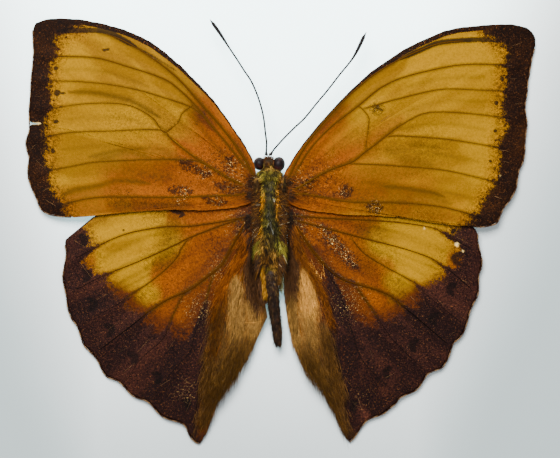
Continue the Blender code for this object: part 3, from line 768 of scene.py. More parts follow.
    def build_fringe(self, slot):
        """The outer margin's fringe: short tapered scales from the membrane's edge to the wing's outline."""
        line = smooth_path(self.margin, 1500)
        heading = unit(np.gradient(line, axis=0))
        out = np.column_stack([heading[:, 1], -heading[:, 0]])
        if np.sum(out * (line - np.array([self.side * 16.0, 0.0]))) < 0.0:
            out = -out
        count = len(line)
        wander = chance.normal(0.0, 0.34, (count, 1))
        aim = out + heading * wander
        base = line - out * (FRINGE_LENGTH * 0.95)
        length = FRINGE_LENGTH * (0.70 + 0.50 * chance.random((count, 1)))
        height = self.height(base) + self.relief(base)
        roots = np.column_stack([base, height])
        drop = chance.normal(0.0, 0.02, (count, 1))
        run = np.arange(count) * 0.05
        wave = 0.5 + 0.5 * np.sin(run * 1.7 + 2.0 * np.sin(run * 0.31))
        pale = step(0.35, 0.75, wave + chance.normal(0, 0.2, count))[:, None]
        tones = np.array(BORDER_WARM) * (1 - pale) + np.array(FRINGE_PALE) * pale
        aims = np.hstack([aim * length, drop])
        add_hair(self.node + "_fringe", roots, aims, np.zeros((count, 3)), FRINGE_RADIUS, tones, slot)


def join(bodies):
    """Several closed bodies as one set of points, quads and triangles."""
    points, quads, triangles, start = [], [], [], 0
    for body in bodies:
        points.append(body[0])
        quads.append(np.asarray(body[1]) + start)
        triangles.append(np.asarray(body[2]) + start)
        start += len(body[0])
    return np.vstack(points), np.vstack(quads), np.vstack(triangles)


THICK = (0.165, 0.095)
MEDIUM = (0.120, 0.080)
THIN = (0.092, 0.062)

LEFT_FORE_VEINS = [
    (THICK, [(-2.25, 4.05), (-4.5, 7.95), (-7.2, 11.55), (-10.5, 15.3), (-13.95, 19.05), (-18, 22.2),
             (-22.05, 24.6), (-25.5, 25.8)]),
    (MEDIUM, [(-3.6, 5.55), (-6.3, 9), (-9, 12.15), (-11.25, 15), (-14.7, 18.15), (-17.25, 19.35),
              (-21, 20.55), (-25.5, 21.9), (-29.25, 22.2), (-33.75, 22.27)]),
    (THIN, [(-9.6, 13.05), (-12, 14.7), (-16.5, 16.2), (-19.5, 17.1), (-24, 18), (-28.5, 18.45),
            (-32.25, 18.6), (-34.8, 18.75)]),
    (THIN, [(-11.25, 15), (-13.05, 13.65), (-13.8, 12.15), (-15.75, 10.8)]),
    (THIN, [(-13.8, 12.15), (-15.75, 10.8), (-17.25, 12.75), (-19.5, 14.25), (-21.75, 15), (-24.75, 15.22),
            (-28.5, 15.07), (-32.25, 14.55), (-34.8, 14.4)]),
    (THICK, [(-3.9, 2.85), (-6.3, 4.05), (-7.8, 4.95), (-9.75, 6.15), (-12, 7.65), (-14.25, 9.45),
             (-15.75, 10.8)]),
    (THIN, [(-13.5, 8.85), (-14.7, 9.75), (-16.5, 11.17), (-24, 11.03), (-28.5, 10.95), (-31.5, 10.65),
            (-33.75, 10.2), (-35.1, 9.9)]),
    (THIN, [(-9.3, 5.85), (-11.55, 6.67), (-18, 6.75), (-24, 6.52), (-27, 6.3), (-30, 5.7), (-32.7, 5.25),
            (-34.5, 4.65)]),
    (MEDIUM, [(-3, 1.95), (-4.5, 1.5), (-9.75, 1.27), (-15, 1.12), (-24, 1.2), (-27, 0.97), (-29.25, 0.53),
              (-31.8, -0.3)]),
]
RIGHT_FORE_VEINS = [
    (THICK, [(2.7, 3.75), (4.05, 6.75), (6.3, 10.2), (9.45, 13.95), (13.5, 17.85), (17.25, 20.55),
             (21.75, 22.8), (25.5, 24.15), (30, 24.6)]),
    (MEDIUM, [(3.6, 4.35), (5.7, 7.95), (9, 11.55), (12.9, 14.55), (16.2, 17.25), (19.5, 18.9), (24, 20.1),
              (27.75, 20.85), (31.5, 21.07), (36.75, 20.85)]),
    (THIN, [(13.8, 14.25), (17.25, 15.3), (19.5, 15.9), (25.5, 17.25), (31.5, 17.18), (37.2, 16.95)]),
    (THIN, [(12.9, 14.85), (13.8, 14.25), (14.7, 13.05), (14.7, 11.85), (14.25, 8.25)]),
    (THIN, [(14.7, 8.25), (17.1, 10.2), (19.5, 11.85), (22.5, 13.5), (25.5, 13.88), (30, 13.65),
            (36.9, 12.9)]),
    (THICK, [(3.3, 2.25), (4.5, 2.7), (7.5, 4.5), (9.75, 5.55), (12.3, 6.45), (14.25, 7.95), (16.5, 9.6),
             (18, 10.8), (19.5, 12)]),
    (THIN, [(17.1, 10.2), (19.5, 10.28), (25.5, 9.9), (30, 9.3), (34.5, 8.55), (37.2, 8.25)]),
    (THIN, [(11.25, 6.15), (15.75, 6), (19.5, 5.77), (25.5, 5.25), (30, 4.35), (36, 2.85)]),
    (MEDIUM, [(3, 1.5), (4.95, 1.65), (7.5, 1.2), (12, 0.45), (19.5, 0.3), (24, -0.07), (27, -0.6),
              (33, -2.25)]),
]
LEFT_HIND_VEINS = [
    (MEDIUM, [(-3, -1.6), (-6.5, -2.4), (-12, -3.2), (-15, -3.2), (-18, -3.6), (-21, -4.2), (-24, -5.3),
              (-26.5, -6.6), (-30, -8.4)]),
    (MEDIUM, [(-3.4, -2), (-6, -2.6), (-12, -4.9), (-14, -5.9), (-17, -7.3), (-20, -8.6), (-23.5, -10),
              (-26, -11.1), (-30, -13.2)]),
    (THIN, [(-12, -4.9), (-13.2, -6.4), (-14, -8), (-16, -10), (-18, -11.6), (-20.5, -13.2), (-23, -15),
            (-28.6, -17.9)]),
    (THICK, [(-3.6, -2.6), (-5, -5), (-7, -8.7), (-8, -9.7), (-10, -11.2), (-12, -12.7), (-15, -14),
             (-18, -15.8), (-20, -17.5), (-26.3, -22.3)]),
    (THIN, [(-12, -12.7), (-13, -13.5), (-14.5, -16.5), (-16, -20), (-19.3, -23), (-21.9, -26.9)]),
    (THIN, [(-7, -8.7), (-8.5, -10.5), (-10, -16), (-11.5, -20), (-12, -22), (-15.5, -26), (-17.9, -29.4)]),
    (MEDIUM, [(-3.6, -4), (-5.6, -9.5), (-7.3, -14.5), (-8.9, -20), (-10.3, -26), (-11.6, -34.2)]),
    (THIN, [(-3, -5), (-3.8, -9.5), (-4.6, -14), (-5.6, -19.5), (-6.9, -25.5)]),
]
RIGHT_HIND_VEINS = [
    (MEDIUM, [(3, -1.6), (7, -1.9), (13, -2.2), (19, -2.6), (24.2, -3.4), (26, -4.3), (30.9, -7)]),
    (MEDIUM, [(3.4, -2.2), (8, -3.4), (14, -5), (19.5, -6.4), (23.7, -7.8), (25.2, -8.7), (27.5, -10.3),
              (30.9, -13.3)]),
    (THIN, [(12, -4.8), (14, -7.2), (17.2, -9.2), (20.5, -11), (22, -11.9), (23.5, -13.5), (29.2, -18)]),
    (THICK, [(3.6, -2.8), (5.4, -5.4), (7.6, -8.4), (10, -10.6), (12.5, -11.7), (15, -12.4), (17, -13.1),
             (18.5, -13.9), (20, -15.2), (27.3, -21.4)]),
    (THIN, [(12.4, -11.6), (14, -13.8), (15, -15.2), (16.5, -17.5), (17.5, -19), (18.5, -20.3),
            (23.5, -25.2)]),
    (THIN, [(8, -9), (10.5, -13.5), (11.3, -16), (12.3, -19), (14, -23.5), (19.2, -28.6)]),
    (MEDIUM, [(3.5, -4), (5.9, -9.5), (7.9, -14.5), (9.4, -20), (10.7, -26), (12, -34)]),
    (THIN, [(3, -5), (4.2, -9.5), (5.4, -14), (6.5, -19.5), (7.9, -25.5)]),
]


def clear_border(flat):
    """No rust beside the dark border."""
    return np.zeros(len(flat))


def rusty_border(flat):
    """Rust beside the dark border in the rear part of a hindwing."""
    return 0.85 * step(-8.0, -14.0, flat[:, 1])


def fore_edge(widest, inner):
    """Width of the black front edge in millimetres: inner near the root, widest in the outer part."""
    return lambda flat: inner + (widest - inner) * step(4.0, 20.0, np.abs(flat[:, 0]))


LEFT_FORE_MARKS = {
    "edge_width": fore_edge(0.80, 0.22),
    "base": {"warm": 0.05, "rubbed_glints": 0.05, "dust": 0.16},
    "border_rust": clear_border,
    "vein_tone": (0.042, 0.015, 0.0),
    "teeth": 0.5,
    "limit": [(-26.5, 28.6), (-28.5, 26.4), (-30.5, 25.4), (-32, 25), (-31.8, 23.5), (-32.5, 22), (-33, 20),
              (-33, 18.5), (-32.8, 16), (-32.7, 14.5), (-33.3, 12.5), (-33.5, 10.5), (-33, 9.5), (-33.3, 8),
              (-33.2, 5.5), (-33, 3), (-32.2, 2), (-31.5, 1), (-31, 0), (-30.3, -1.2), (-29, -2.6)],
    "strokes": {
        "spots_and_shadow": [
            (0.55, 0.95, [(-31.8, 26.1), (-26.1, 26.1), (-24, 25.8), (-22.05, 24.75), (-19.95, 23.55)]),
            (0.4, 0.6, [(-19.95, 23.55), (-16.8, 21.75), (-13.95, 19.95)]), (0.42, 1.15, [(-32.1, 20.5)]),
            (0.55, 1.25, [(-31.9, 16.8)]), (0.25, 0.9, [(-31.8, 16.8), (-30.6, 16.7)]),
            (0.4, 1.05, [(-32.4, 12.5), (-31.7, 12.5)]), (0.42, 1.1, [(-32.5, 8.1)]),
            (0.35, 0.8, [(-25.05, 23.1), (-24, 23.25)]),
        ],
        "painted_shade": [
            (0.55, 0.85, [(-30, 16.88), (-26.7, 16.8), (-23.25, 16.2), (-20.25, 15.3), (-16.5, 13.05)]),
            (0.5, 0.75, [(-27, 7.2), (-25, 7.6), (-22, 8.2), (-18, 8.5)]),
            (0.6, 0.8, [(-31.05, 1.5), (-29.25, 2.25), (-25.95, 2.85), (-22.95, 3.6), (-19.95, 3.45),
                        (-18, 3.15)]), (0.8, 0.45, [(-24, 0.3), (-18, 0.15), (-12, 0.15)]),
            (0.5, 0.45, [(-31.5, 20.25), (-27, 20.25), (-22.5, 19.35), (-18, 17.55)]),
            (0.5, 0.4, [(-31.5, 12.75), (-27, 13.05), (-22.5, 13.05), (-18.75, 12.15)]),
            (0.5, 0.4, [(-31.5, 8.25), (-27, 8.7), (-21, 8.85), (-15.75, 8.25)]),
            (0.6, 0.5, [(-12.75, 14.55), (-10.5, 11.85), (-8.25, 8.85), (-5.7, 5.85)]),
            (1.6, 0.35, [(-21.75, 5.25), (-15, 4.35)]), (1.8, 0.3, [(-13.5, 13.05), (-9.75, 9.75)]),
            (0.7, 0.6, [(-25.5, 6.75), (-21, 7.95), (-18, 7.05)]),
        ],
        "glow": [
            (1.1, 0.4, [(-31.2, 24.15), (-29.25, 24.3)]),
            (0.5, 0.45, [(-31.5, 25.2), (-27, 25.05), (-23.7, 24.3), (-21, 22.8)]),
            (0.3, 0.5, [(-31.3, 16.2)]), (0.14, 0.8, [(-25.05, 23.7), (-24, 22.8)]),
            (0.12, 0.7, [(-14.5, 9.8), (-12.5, 8)]), (0.1, 0.8, [(-34.7, 4.5), (-32.8, 2)]),
            (0.3, 0.5, [(-12.75, 17.25)]), (0.3, 0.5, [(-12.75, 12.6)]), (0.16, 1, [(-2.85, 2.55)]),
            (0.8, 0.28, [(-31.5, 20.85), (-27, 21.15), (-21.75, 20.55), (-16.5, 18.15)]),
            (0.8, 0.25, [(-33, 16.05), (-27, 15.9), (-21, 14.55)]),
            (0.8, 0.22, [(-33, 11.85), (-27, 12), (-18, 11.85)]),
            (0.9, 0.22, [(-32.25, 7.2), (-27, 7.65), (-16.5, 7.8)]),
        ],
        "warm": [
            (9, 0.95, [(-2.1, 3)]), (3.2, 0.45, [(-2.1, 3.75), (-6.75, 11.25), (-11.25, 16.5)]),
            (5.5, 0.5, [(-31.5, -0.45), (-22.5, -0.15), (-10.5, 0.75), (-3, 1.5)]),
            (6, 0.45, [(-22.5, 4.05), (-12, 6), (-6, 6.75)]), (3, 0.25, [(-9.75, 15), (-6.75, 9.75)]),
            (0.9, 0.55, [(-6.3, 4.05), (-9.75, 6.15), (-14.25, 9.45)]),
        ],
        "rust": [
            (3.6, 0.75, [(-2.1, 1.95)]), (1.5, 0.5, [(-24, -0.15), (-18, -0.3), (-12, -0.15)]),
            (0.8, 0.4, [(-5.25, 9.75), (-2.1, 4.05)]),
        ],
        "flame": [
            (1, 1, [(-7.2, 11.85), (-4.5, 7.95), (-2.4, 4.35)]), (0.6, 0.6, [(-7.2, 5.25), (-3.9, 3.15)]),
            (1.4, 0.5, [(-12, 3.75), (-6.75, 2.85)]),
        ],
        "deep": [
            (3.6, 0.8, [(-31.5, 6), (-24, 6.75), (-13.5, 6)]), (2.2, 0.6, [(-31.5, 1.5), (-21, 2.25)]),
            (2.6, 0.8, [(-22.5, 24), (-13.5, 18), (-8.7, 12)]),
            (2.2, 0.6, [(-25.5, 21.75), (-18, 18.75), (-13.5, 15)]), (1.4, 0.5, [(-30, 16.95), (-21, 15.75)]),
        ],
        "dust": [
            (1.5, 1.5, [(-5.7, 6.9), (-6.45, 5.25)]), (1.2, 1.5, [(-8.1, 3.15), (-5.1, 2.1), (-2.4, 2.25)]),
            (1.2, 1.4, [(-13.2, 6.3), (-11.1, 5.55), (-9, 4.35)]), (0.9, 1.4, [(-15, 2.25), (-11.7, 1.95)]),
            (0.9, 1.4, [(-9.75, 0.9), (-6.6, 0.45)]), (6.5, 0.75, [(-7.2, 4.95)]),
            (1, 0.6, [(-9.6, 13.95), (-11.1, 12.15)]), (7, 0.42, [(-22.5, 12.75), (-10.5, 9.75)]),
            (3, 0.55, [(-24, 0.75), (-12, 0.75)]),
        ],
        "pale": [
            (0.16, 1.1, [(-36.15, 12.22), (-34.35, 12.22)]),
        ],
        "rubbed_glints": [
            (3.2, 0.9, [(-4.8, 3.75)]), (1.7, 1, [(-5.55, 6)]), (1.6, 1, [(-9.75, 4.95)]),
            (1.6, 1, [(-5.4, 2.55)]), (1.4, 1, [(-12.75, 1.95)]), (1.4, 0.9, [(-7.8, 0.6)]),
            (1.3, 0.8, [(-13.5, 0.75)]), (6, 0.45, [(-9, 5.25)]),
        ],
    },
}
RIGHT_FORE_MARKS = {
    "edge_width": fore_edge(0.80, 0.20),
    "base": {"warm": 0.05, "rubbed_glints": 0.05, "dust": 0.16},
    "border_rust": clear_border,
    "vein_tone": (0.045, 0.016, 0.0),
    "teeth": 0.5,
    "limit": [(31.2, 27.75), (32.4, 25.65), (34.05, 24.15), (35.55, 22.95), (35.25, 21), (34.95, 18.75),
              (34.95, 16.95), (34.5, 15), (35.1, 13.2), (35.4, 11.55), (34.35, 9.45), (34.5, 7.5),
              (34.05, 5.55), (33.7, 3), (32.8, 2), (32.2, 1), (31.7, 0), (31.3, -1), (30.3, -2), (29.3, -2.9),
              (28.6, -4.2)],
    "strokes": {
        "spots_and_shadow": [
            (0.5, 0.95, [(19.5, 21.75), (22.5, 23.1), (25.5, 24.3), (31.5, 24.75), (33.9, 24.45)]),
            (0.42, 1.1, [(34.8, 18.9)]), (0.42, 1.15, [(33.9, 15.3)]), (0.38, 1, [(33.75, 11.1)]),
            (0.34, 0.95, [(33, 6.6)]), (0.6, 1.1, [(35.7, 22.2)]),
        ],
        "painted_shade": [
            (0.55, 0.85, [(17, 2.8), (20, 2.5), (24, 1.9), (26, 1.2)]), (1.3, 0.4, [(22, 7.5)]),
            (0.8, 0.5, [(16, 14.3)]), (0.5, 0.45, [(20.25, 17.55), (25.5, 18.9), (32.25, 19.2)]),
            (0.5, 0.4, [(20.25, 13.95), (25.5, 15.45), (32.25, 15.45)]),
            (0.5, 0.45, [(19.5, 11.25), (25.5, 12.15), (32.25, 11.25)]),
            (0.5, 0.45, [(17.25, 8.25), (24, 7.65), (31.5, 6.45)]),
            (0.6, 0.45, [(13.5, 3.45), (22.5, 2.55), (30, 1.05)]),
            (1.2, 0.5, [(17.25, 8.25), (20.25, 6.75), (24, 5.85)]),
            (0.9, 0.5, [(16.5, 2.85), (22.5, 1.95), (27, 0.15)]), (0.5, 0.6, [(20.7, 9), (25.5, 8.55)]),
            (0.6, 0.5, [(4.5, 4.95), (7.8, 8.85), (11.25, 11.85), (13.8, 13.95)]),
        ],
        "glow": [
            (0.6, 0.5, [(21, 21.75), (25.5, 23.25), (32.25, 23.7)]),
            (0.8, 0.25, [(21, 18.15), (27, 19.35), (33, 19.8)]),
            (0.8, 0.25, [(21, 14.85), (27, 16.2), (33, 16.2)]),
            (0.8, 0.25, [(22.5, 11.25), (27, 11.55), (32.25, 10.65)]),
            (0.9, 0.25, [(19.5, 7.95), (25.5, 7.2), (32.25, 5.85)]),
            (0.9, 0.2, [(16.5, 4.05), (24, 3.15), (30.75, 1.95)]),
            (0.25, 0.35, [(35.85, 19.05), (37.5, 19.05)]), (0.25, 0.35, [(35.55, 15.15), (37.2, 15)]),
        ],
        "warm": [
            (8, 0.9, [(2.1, 2.25)]), (2.6, 0.35, [(2.4, 4.5), (6, 9.75), (10.5, 14.55)]),
            (5, 0.32, [(3, 0.75), (13.5, 0), (24, -1.05), (30, -2.55)]),
            (6, 0.3, [(6, 6), (13.5, 4.95), (22.5, 3.45)]), (3, 0.25, [(7.2, 9.75), (11.25, 14.55)]),
            (1.6, 0.35, [(9.75, 6), (14.25, 9), (19.5, 12.75)]),
        ],
        "rust": [
            (3.4, 0.7, [(2.7, 1.5)]), (1.2, 0.4, [(7.5, -0.45), (19.5, -1.35), (28.5, -2.25)]),
        ],
        "flame": [
            (0.9, 1, [(2.7, 4.95), (4.8, 8.25), (7.8, 12.15)]),
            (0.9, 0.6, [(8.25, 5.25), (12, 7.5), (15.75, 10.05), (19.8, 13.35)]),
            (0.9, 0.7, [(11.25, 11.55), (15.3, 13.05), (19.5, 15.75)]),
            (1.2, 0.5, [(4.5, 0.75), (10.5, 0.3)]),
        ],
        "deep": [
            (3, 0.35, [(12, 3), (22.5, 1.95), (30.75, 0.75)]),
            (2.2, 0.7, [(7.5, 11.25), (13.5, 16.5), (19.5, 20.25)]), (2.4, 0.5, [(19.5, 8.25), (28.5, 6.75)]),
        ],
        "dust": [
            (1.6, 1.4, [(3.9, 2.55), (6.6, 3.45)]), (1.3, 1.4, [(10.5, 1.95), (12, 2.25)]),
            (1.1, 1.4, [(14.7, -0.3), (16.5, -0.45)]), (6.5, 0.75, [(7.2, 3.45)]), (1.2, 1.2, [(16, 14.3)]),
            (7, 0.4, [(13.5, 9.75), (25.5, 8.25)]), (2.6, 0.45, [(10.5, 0), (25.5, -1.65)]),
        ],
        "pale": [
            (0.18, 0.7, [(34.5, 4.35)]), (0.16, 0.7, [(36.9, 2.25)]),
        ],
        "rubbed_glints": [
            (2.6, 0.9, [(4.5, 3.45)]), (1.5, 0.9, [(10.95, 2.1)]), (1.5, 0.9, [(15.75, -0.3)]),
            (5, 0.45, [(8.25, 4.05)]), (1.2, 0.8, [(16, 14.3)]),
        ],
    },
}


def hind_edge(flat):
    """Width of the dark front edge of a hindwing, in its outer part alone."""
    return 0.34 * step(17.0, 26.0, np.abs(flat[:, 0])) - 0.10


LEFT_HIND_MARKS = {
    "edge_width": hind_edge,
    "base": {"warm": 0.80, "rust": 0.12, "rubbed_glints": 0.12, "dust": 0.52},
    "border_rust": rusty_border,
    "vein_tone": (0.032, 0.0095, 0.0),
    "teeth": 1.8,
    "limit": [(-30, -1.95), (-27.9, -4.05), (-27.3, -5.55), (-27.9, -7.95), (-27, -10.05), (-25.95, -11.25),
              (-24.75, -12), (-23.25, -13.8), (-22.5, -15), (-20.25, -16.5), (-17.4, -18.6), (-14.7, -19.8),
              (-12.45, -19.65), (-10.95, -18), (-10.05, -16.35), (-9.3, -16.05), (-9, -17.25), (-9.3, -19.65),
              (-9.75, -23.25), (-10.35, -27.3), (-10.95, -31.2), (-10.65, -33.45), (-9.9, -35.7),
              (-8.7, -38.25)],
    "strokes": {
        "spots_and_shadow": [
            (0.78, 0.85, [(-28.5, -4.6), (-27.6, -5.2), (-28.2, -6)]),
            (0.78, 0.85, [(-28, -9.8), (-27.1, -10.5), (-27.9, -11.4)]),
            (0.78, 0.85, [(-27.2, -14), (-26.2, -14.9), (-27.2, -15.8)]),
            (0.78, 0.85, [(-24.8, -18), (-23.6, -18.5), (-24.3, -19.7)]),
            (0.78, 0.85, [(-21.3, -22.3), (-20.1, -22.7), (-20.6, -23.8)]),
            (0.6, 1, [(-17.6, -25.2), (-16.5, -25.7), (-17.1, -26.8)]),
            (0.55, 1, [(-13, -29.4), (-12.1, -29.6), (-12.7, -30.7)]), (0.28, 0.9, [(-21.9, -3.8)]),
            # A painted shadow cast by the forewing's hind edge, not a spot.
            (0.4, 0.9, [(-14.7, -0.9), (-13, -1.3), (-13.5, -1.8)]),
        ],
        "painted_shade": [
            (0.6, 0.45, [(-26, -12), (-23, -14), (-20, -16.4)]), (2.4, 0.42, [(-14, -3), (-16, -8.5)]),
            (0.28, 0.6, [(-26.5, -11.6), (-21, -8.6), (-16.5, -7)]),
            (0.28, 0.55, [(-24.8, -13.8), (-19.5, -11.2), (-15.5, -8.8)]),
            (0.28, 0.5, [(-27, -6.4), (-22, -4.4), (-17, -3.2)]),
            (0.5, 0.5, [(-15, -3.9), (-20, -5.3), (-25, -8)]),
            (0.5, 0.5, [(-14, -7), (-19, -9.8), (-24, -12.5)]),
        ],
        "glow": [
            (3.4, 0.42, [(-25, -4.5), (-19.5, -5.5), (-21.5, -9.5)]),
            (0.38, 0.75, [(-27, -5), (-24, -3.7), (-21, -2.6)]), (0.28, 0.38, [(-21, -6.8), (-18.3, -4.6)]),
            (0.22, 0.5, [(-26.5, -9.8), (-24, -8.5)]), (0.15, 0.4, [(-7.3, -0.8), (-6, -2.2), (-4.8, -3)]),
            (0.22, 0.5, [(-28.8, -5)]), (0.22, 0.5, [(-28.4, -6.5)]), (0.22, 0.5, [(-28.8, -9.5)]),
            (0.12, 0.9, [(-3.6, -17.7), (-1, -17.7)]),
        ],
        "warm": [
            (6.5, 0.85, [(-3, -3)]), (5, 0.75, [(-8, -12)]), (3.4, 0.8, [(-12.5, -13.5)]),
            (2, 0.35, [(-17, -17), (-20, -17.5)]), (3, 0.6, [(-10, -17.5)]),
            (5.2, -1.25, [(-26.5, -4.5), (-20, -4.5), (-16, -5.5)]),
            (3.2, -0.8, [(-25, -10), (-21, -13), (-17.5, -13.5)]),
        ],
        "rust": [
            (2.6, 0.85, [(-3.2, -2)]), (1.6, 0.7, [(-4.4, -7), (-6.3, -11)]),
            (4, 0.22, [(-9, -5), (-12, -12)]), (2.4, 0.4, [(-5.5, -5), (-8.5, -12), (-9.5, -17)]),
            (2.6, 0.75, [(-25.5, -13.5), (-20, -19), (-14.5, -21.5), (-11, -24)]),
            (2, 0.6, [(-9.8, -18), (-9.6, -24)]), (1.2, 0.4, [(-8.5, 0.2), (-20, 0), (-27, -3)]),
        ],
        "beige": [
            (1.6, 1, [(-5.4, -11), (-5.3, -15), (-4.8, -19.5), (-5.4, -22)]),
            (1.5, 0.9, [(-3.2, -14.8), (-2.2, -17.5), (-2.9, -20.5)]),
        ],
        "hairy": [
            (1.2, 0.95, [(-2.6, -8), (-2.4, -11), (-2.5, -13.2)]), (0.5, 0.8, [(-3.2, -9), (-3.3, -14)]),
            (1.5, 0.75, [(-4.6, -23.6), (-6.5, -26), (-8.6, -29.5), (-10.2, -33)]),
            (0.75, 0.9, [(-1.6, -9.5), (-1.1, -13.5), (-0.5, -16.8), (-1.8, -19.8), (-4.2, -24.2)]),
            (0.35, 0.7, [(-3.85, -13), (-3.85, -19)]), (1.6, 0.85, [(-7, -18), (-8, -25)]),
        ],
        "flame": [
            (0.7, 0.9, [(-3.4, -6), (-4.6, -8.6), (-6.4, -12), (-7.6, -15.5)]),
            (1.6, 0.7, [(-15.5, -3.5), (-14.5, -9.5)]), (1.8, 0.55, [(-22.5, -14), (-16.5, -15.5)]),
        ],
        "deep": [
            (3.6, -0.7, [(-26, -4), (-20.5, -5), (-22, -11)]), (2, 0.6, [(-14.5, -2.5), (-16.5, -9.5)]),
            (0.9, -0.8, [(-15, -26), (-13, -30.5)]), (1.2, 0.5, [(-24, -6.6), (-19, -5.6)]),
        ],
        "dust": [
            (3, 1.1, [(-3.2, -1), (-3.6, -5)]), (4.5, 0.7, [(-8, -6)]), (3, 0.75, [(-9, -16)]),
            (4, -0.4, [(-25, -4.5), (-19, -5)]), (2.6, -0.3, [(-23, -9.5), (-19.5, -11)]),
            (2.6, 0.9, [(-22, -17.5), (-16, -19.5), (-12, -19)]), (1.6, 0.6, [(-5, -15)]),
        ],
        "rubbed_glints": [
            (4.5, 0.75, [(-4.5, -2.5)]), (3.5, 0.8, [(-7, -10)]), (3.5, 0.9, [(-10.5, -15.5)]),
            (2.6, 0.7, [(-12.5, -28)]), (5, 0.22, [(-22, -19)]), (2, 0.8, [(-5.2, -14.5)]),
        ],
    },
}
RIGHT_HIND_MARKS = {
    "edge_width": hind_edge,
    "base": {"warm": 0.80, "rust": 0.12, "rubbed_glints": 0.12, "dust": 0.52},
    "border_rust": rusty_border,
    "vein_tone": (0.032, 0.0095, 0.0),
    "teeth": 1.8,
    "limit": [(30, -2.55), (27.3, -3.75), (28.5, -5.25), (28.2, -6.75), (27.9, -9), (26.4, -10.65),
              (24.3, -12.6), (22.35, -14.1), (20.85, -15.6), (18.45, -17.25), (15.45, -18.3), (13.05, -17.25),
              (11.25, -15), (9.75, -12.6), (8.7, -11.25), (8.1, -11.85), (8.25, -14.25), (8.7, -17.25),
              (9.3, -21), (9.75, -26.25), (10.2, -30), (10.65, -33), (9.9, -35.7), (9, -38.25)],
    "strokes": {
        "spots_and_shadow": [
            (0.78, 0.85, [(28.4, -7.2), (27.5, -8), (28.3, -8.9)]),
            (0.78, 0.85, [(27.8, -11.9), (26.8, -12.6), (27.4, -13.5)]),
            (0.78, 0.85, [(25.2, -16.3), (24.1, -17), (24.8, -17.9)]),
            (0.78, 0.85, [(22.1, -20.3), (21.1, -21), (21.7, -21.9)]),
            (0.6, 1, [(18.2, -24.4), (17.2, -25), (17.7, -26)]),
            (0.55, 1, [(13, -29.4), (12.3, -30), (12.7, -31)]), (0.45, 0.9, [(27.7, -3.6), (27.2, -4.2)]),
        ],
        "painted_shade": [
            (2.4, 0.42, [(13, -3.5), (15, -10)]), (0.28, 0.55, [(25.5, -9.8), (21, -8), (17.5, -6.6)]),
            (0.28, 0.5, [(22.8, -13.2), (18.8, -10.9)]), (0.28, 0.5, [(27, -7.2), (22, -5.6), (17, -4.6)]),
            (0.5, 0.5, [(15, -3.2), (20, -4.4), (25, -6.2)]),
            (0.5, 0.5, [(15, -6.4), (19, -8.2), (23, -10.4)]),
        ],
        "glow": [
            (3.4, 0.7, [(25.5, -4.8), (20, -5.5), (22, -10)]), (0.35, 0.9, [(27.9, -6)]),
            (0.35, 0.6, [(29, -7.3)]), (0.3, 0.6, [(23.1, -3.5)]), (0.12, 0.8, [(28, -5), (30.5, -7.3)]),
            (0.12, 0.8, [(13.2, -29.5), (13.8, -30.8)]), (0.8, 0.12, [(17, -4.5), (22, -5.8), (25.5, -7.5)]),
        ],
        "warm": [
            (6.5, 0.9, [(3, -3)]), (5, 0.8, [(7.5, -11)]), (3.6, 0.8, [(12.5, -13)]),
            (2, 0.45, [(15.5, -15.5), (18, -17)]), (3, 0.6, [(12, -18.5)]),
            (4.6, -1.3, [(27, -4.5), (21, -4.5), (17, -5.5)]),
            (3.4, -0.9, [(24.5, -9.5), (21, -12.5), (18.5, -11.5)]), (0.6, 0.6, [(21, -22.8)]),
            (0.6, 0.6, [(14.5, -29.3)]),
        ],
        "rust": [
            (2.8, 0.9, [(3.2, -2.2)]), (4, 0.22, [(9, -5), (11.5, -12)]),
            (2.4, 0.15, [(6, -5), (9.5, -12), (11, -17)]),
            (1.3, 0.85, [(5.5, -6), (8, -10), (9.5, -14), (10.5, -18)]),
            (2.4, 0.75, [(25, -13.5), (20.5, -18.5), (15.5, -21.5), (12, -24.5)]),
            (2, 0.6, [(10.6, -18), (10.8, -24)]), (1.2, 0.35, [(8.5, 0), (20, -1), (26, -2.2)]),
        ],
        "beige": [
            (1.5, 1.1, [(5.4, -10), (5.7, -14), (5.9, -17.5)]), (1.6, 0.6, [(5.9, -17), (6.2, -21.5)]),
        ],
        "hairy": [
            (0.75, 0.9, [(2.1, -9.5), (2.3, -14.8), (3, -19.1), (4.9, -24)]),
            (1.2, 0.95, [(3, -6), (3, -10), (3, -13.5)]), (0.8, 0.8, [(3.1, -13.5), (3.2, -17), (4.4, -21)]),
            (1.7, 0.9, [(6, -23), (7.8, -26.5), (9.8, -30.5), (11.3, -34)]),
            (1.7, 0.9, [(8.2, -18.5), (9.2, -25)]),
        ],
        "flame": [
            (0.7, 0.9, [(3.3, -5), (4.9, -8), (6.5, -11.4), (7.9, -15)]),
            (1.8, 0.6, [(14.5, -3.5), (13.5, -8.5)]), (1.8, 0.6, [(22, -13.5), (17.5, -14.8)]),
            (0.7, 0.9, [(21, -22.8)]), (0.7, 0.9, [(14.5, -29.3)]),
        ],
        "deep": [
            (3.8, -0.95, [(26, -5), (19.5, -5.5), (21.5, -11)]), (2, 0.5, [(15, -2.5), (15.5, -8)]),
            (1.5, 1, [(11.2, -20.5), (11.5, -25)]), (0.8, -0.7, [(13.6, -30.6), (14.8, -32)]),
            (1, -0.6, [(17, -28)]),
        ],
        "dust": [
            (3, 1.1, [(3.2, -1), (3.6, -5)]), (4.5, 0.7, [(8, -6)]), (1.5, 1.3, [(7.4, -3), (13, -9.5)]),
            (4, -0.4, [(25, -5), (19, -5)]), (2.6, -0.3, [(23, -10), (20, -10)]),
            (2.6, 0.9, [(22, -17), (17, -18.5), (12.5, -19.5)]), (1.3, 0.4, [(6, -15)]),
        ],
        "pale": [
            (0.38, 1, [(28, -5.9)]), (0.26, 0.9, [(28.9, -6.9)]), (0.26, 0.8, [(23.1, -3.5)]),
        ],
        "rubbed_glints": [
            (1.1, 1.2, [(7.4, -3), (12.6, -9)]), (4.5, 0.75, [(4.5, -2.5)]), (3.5, 0.6, [(8, -10)]),
            (3.5, 0.9, [(12, -14.5)]), (2.6, 0.5, [(13.5, -29)]), (5, 0.22, [(23, -17)]),
        ],
    },
}

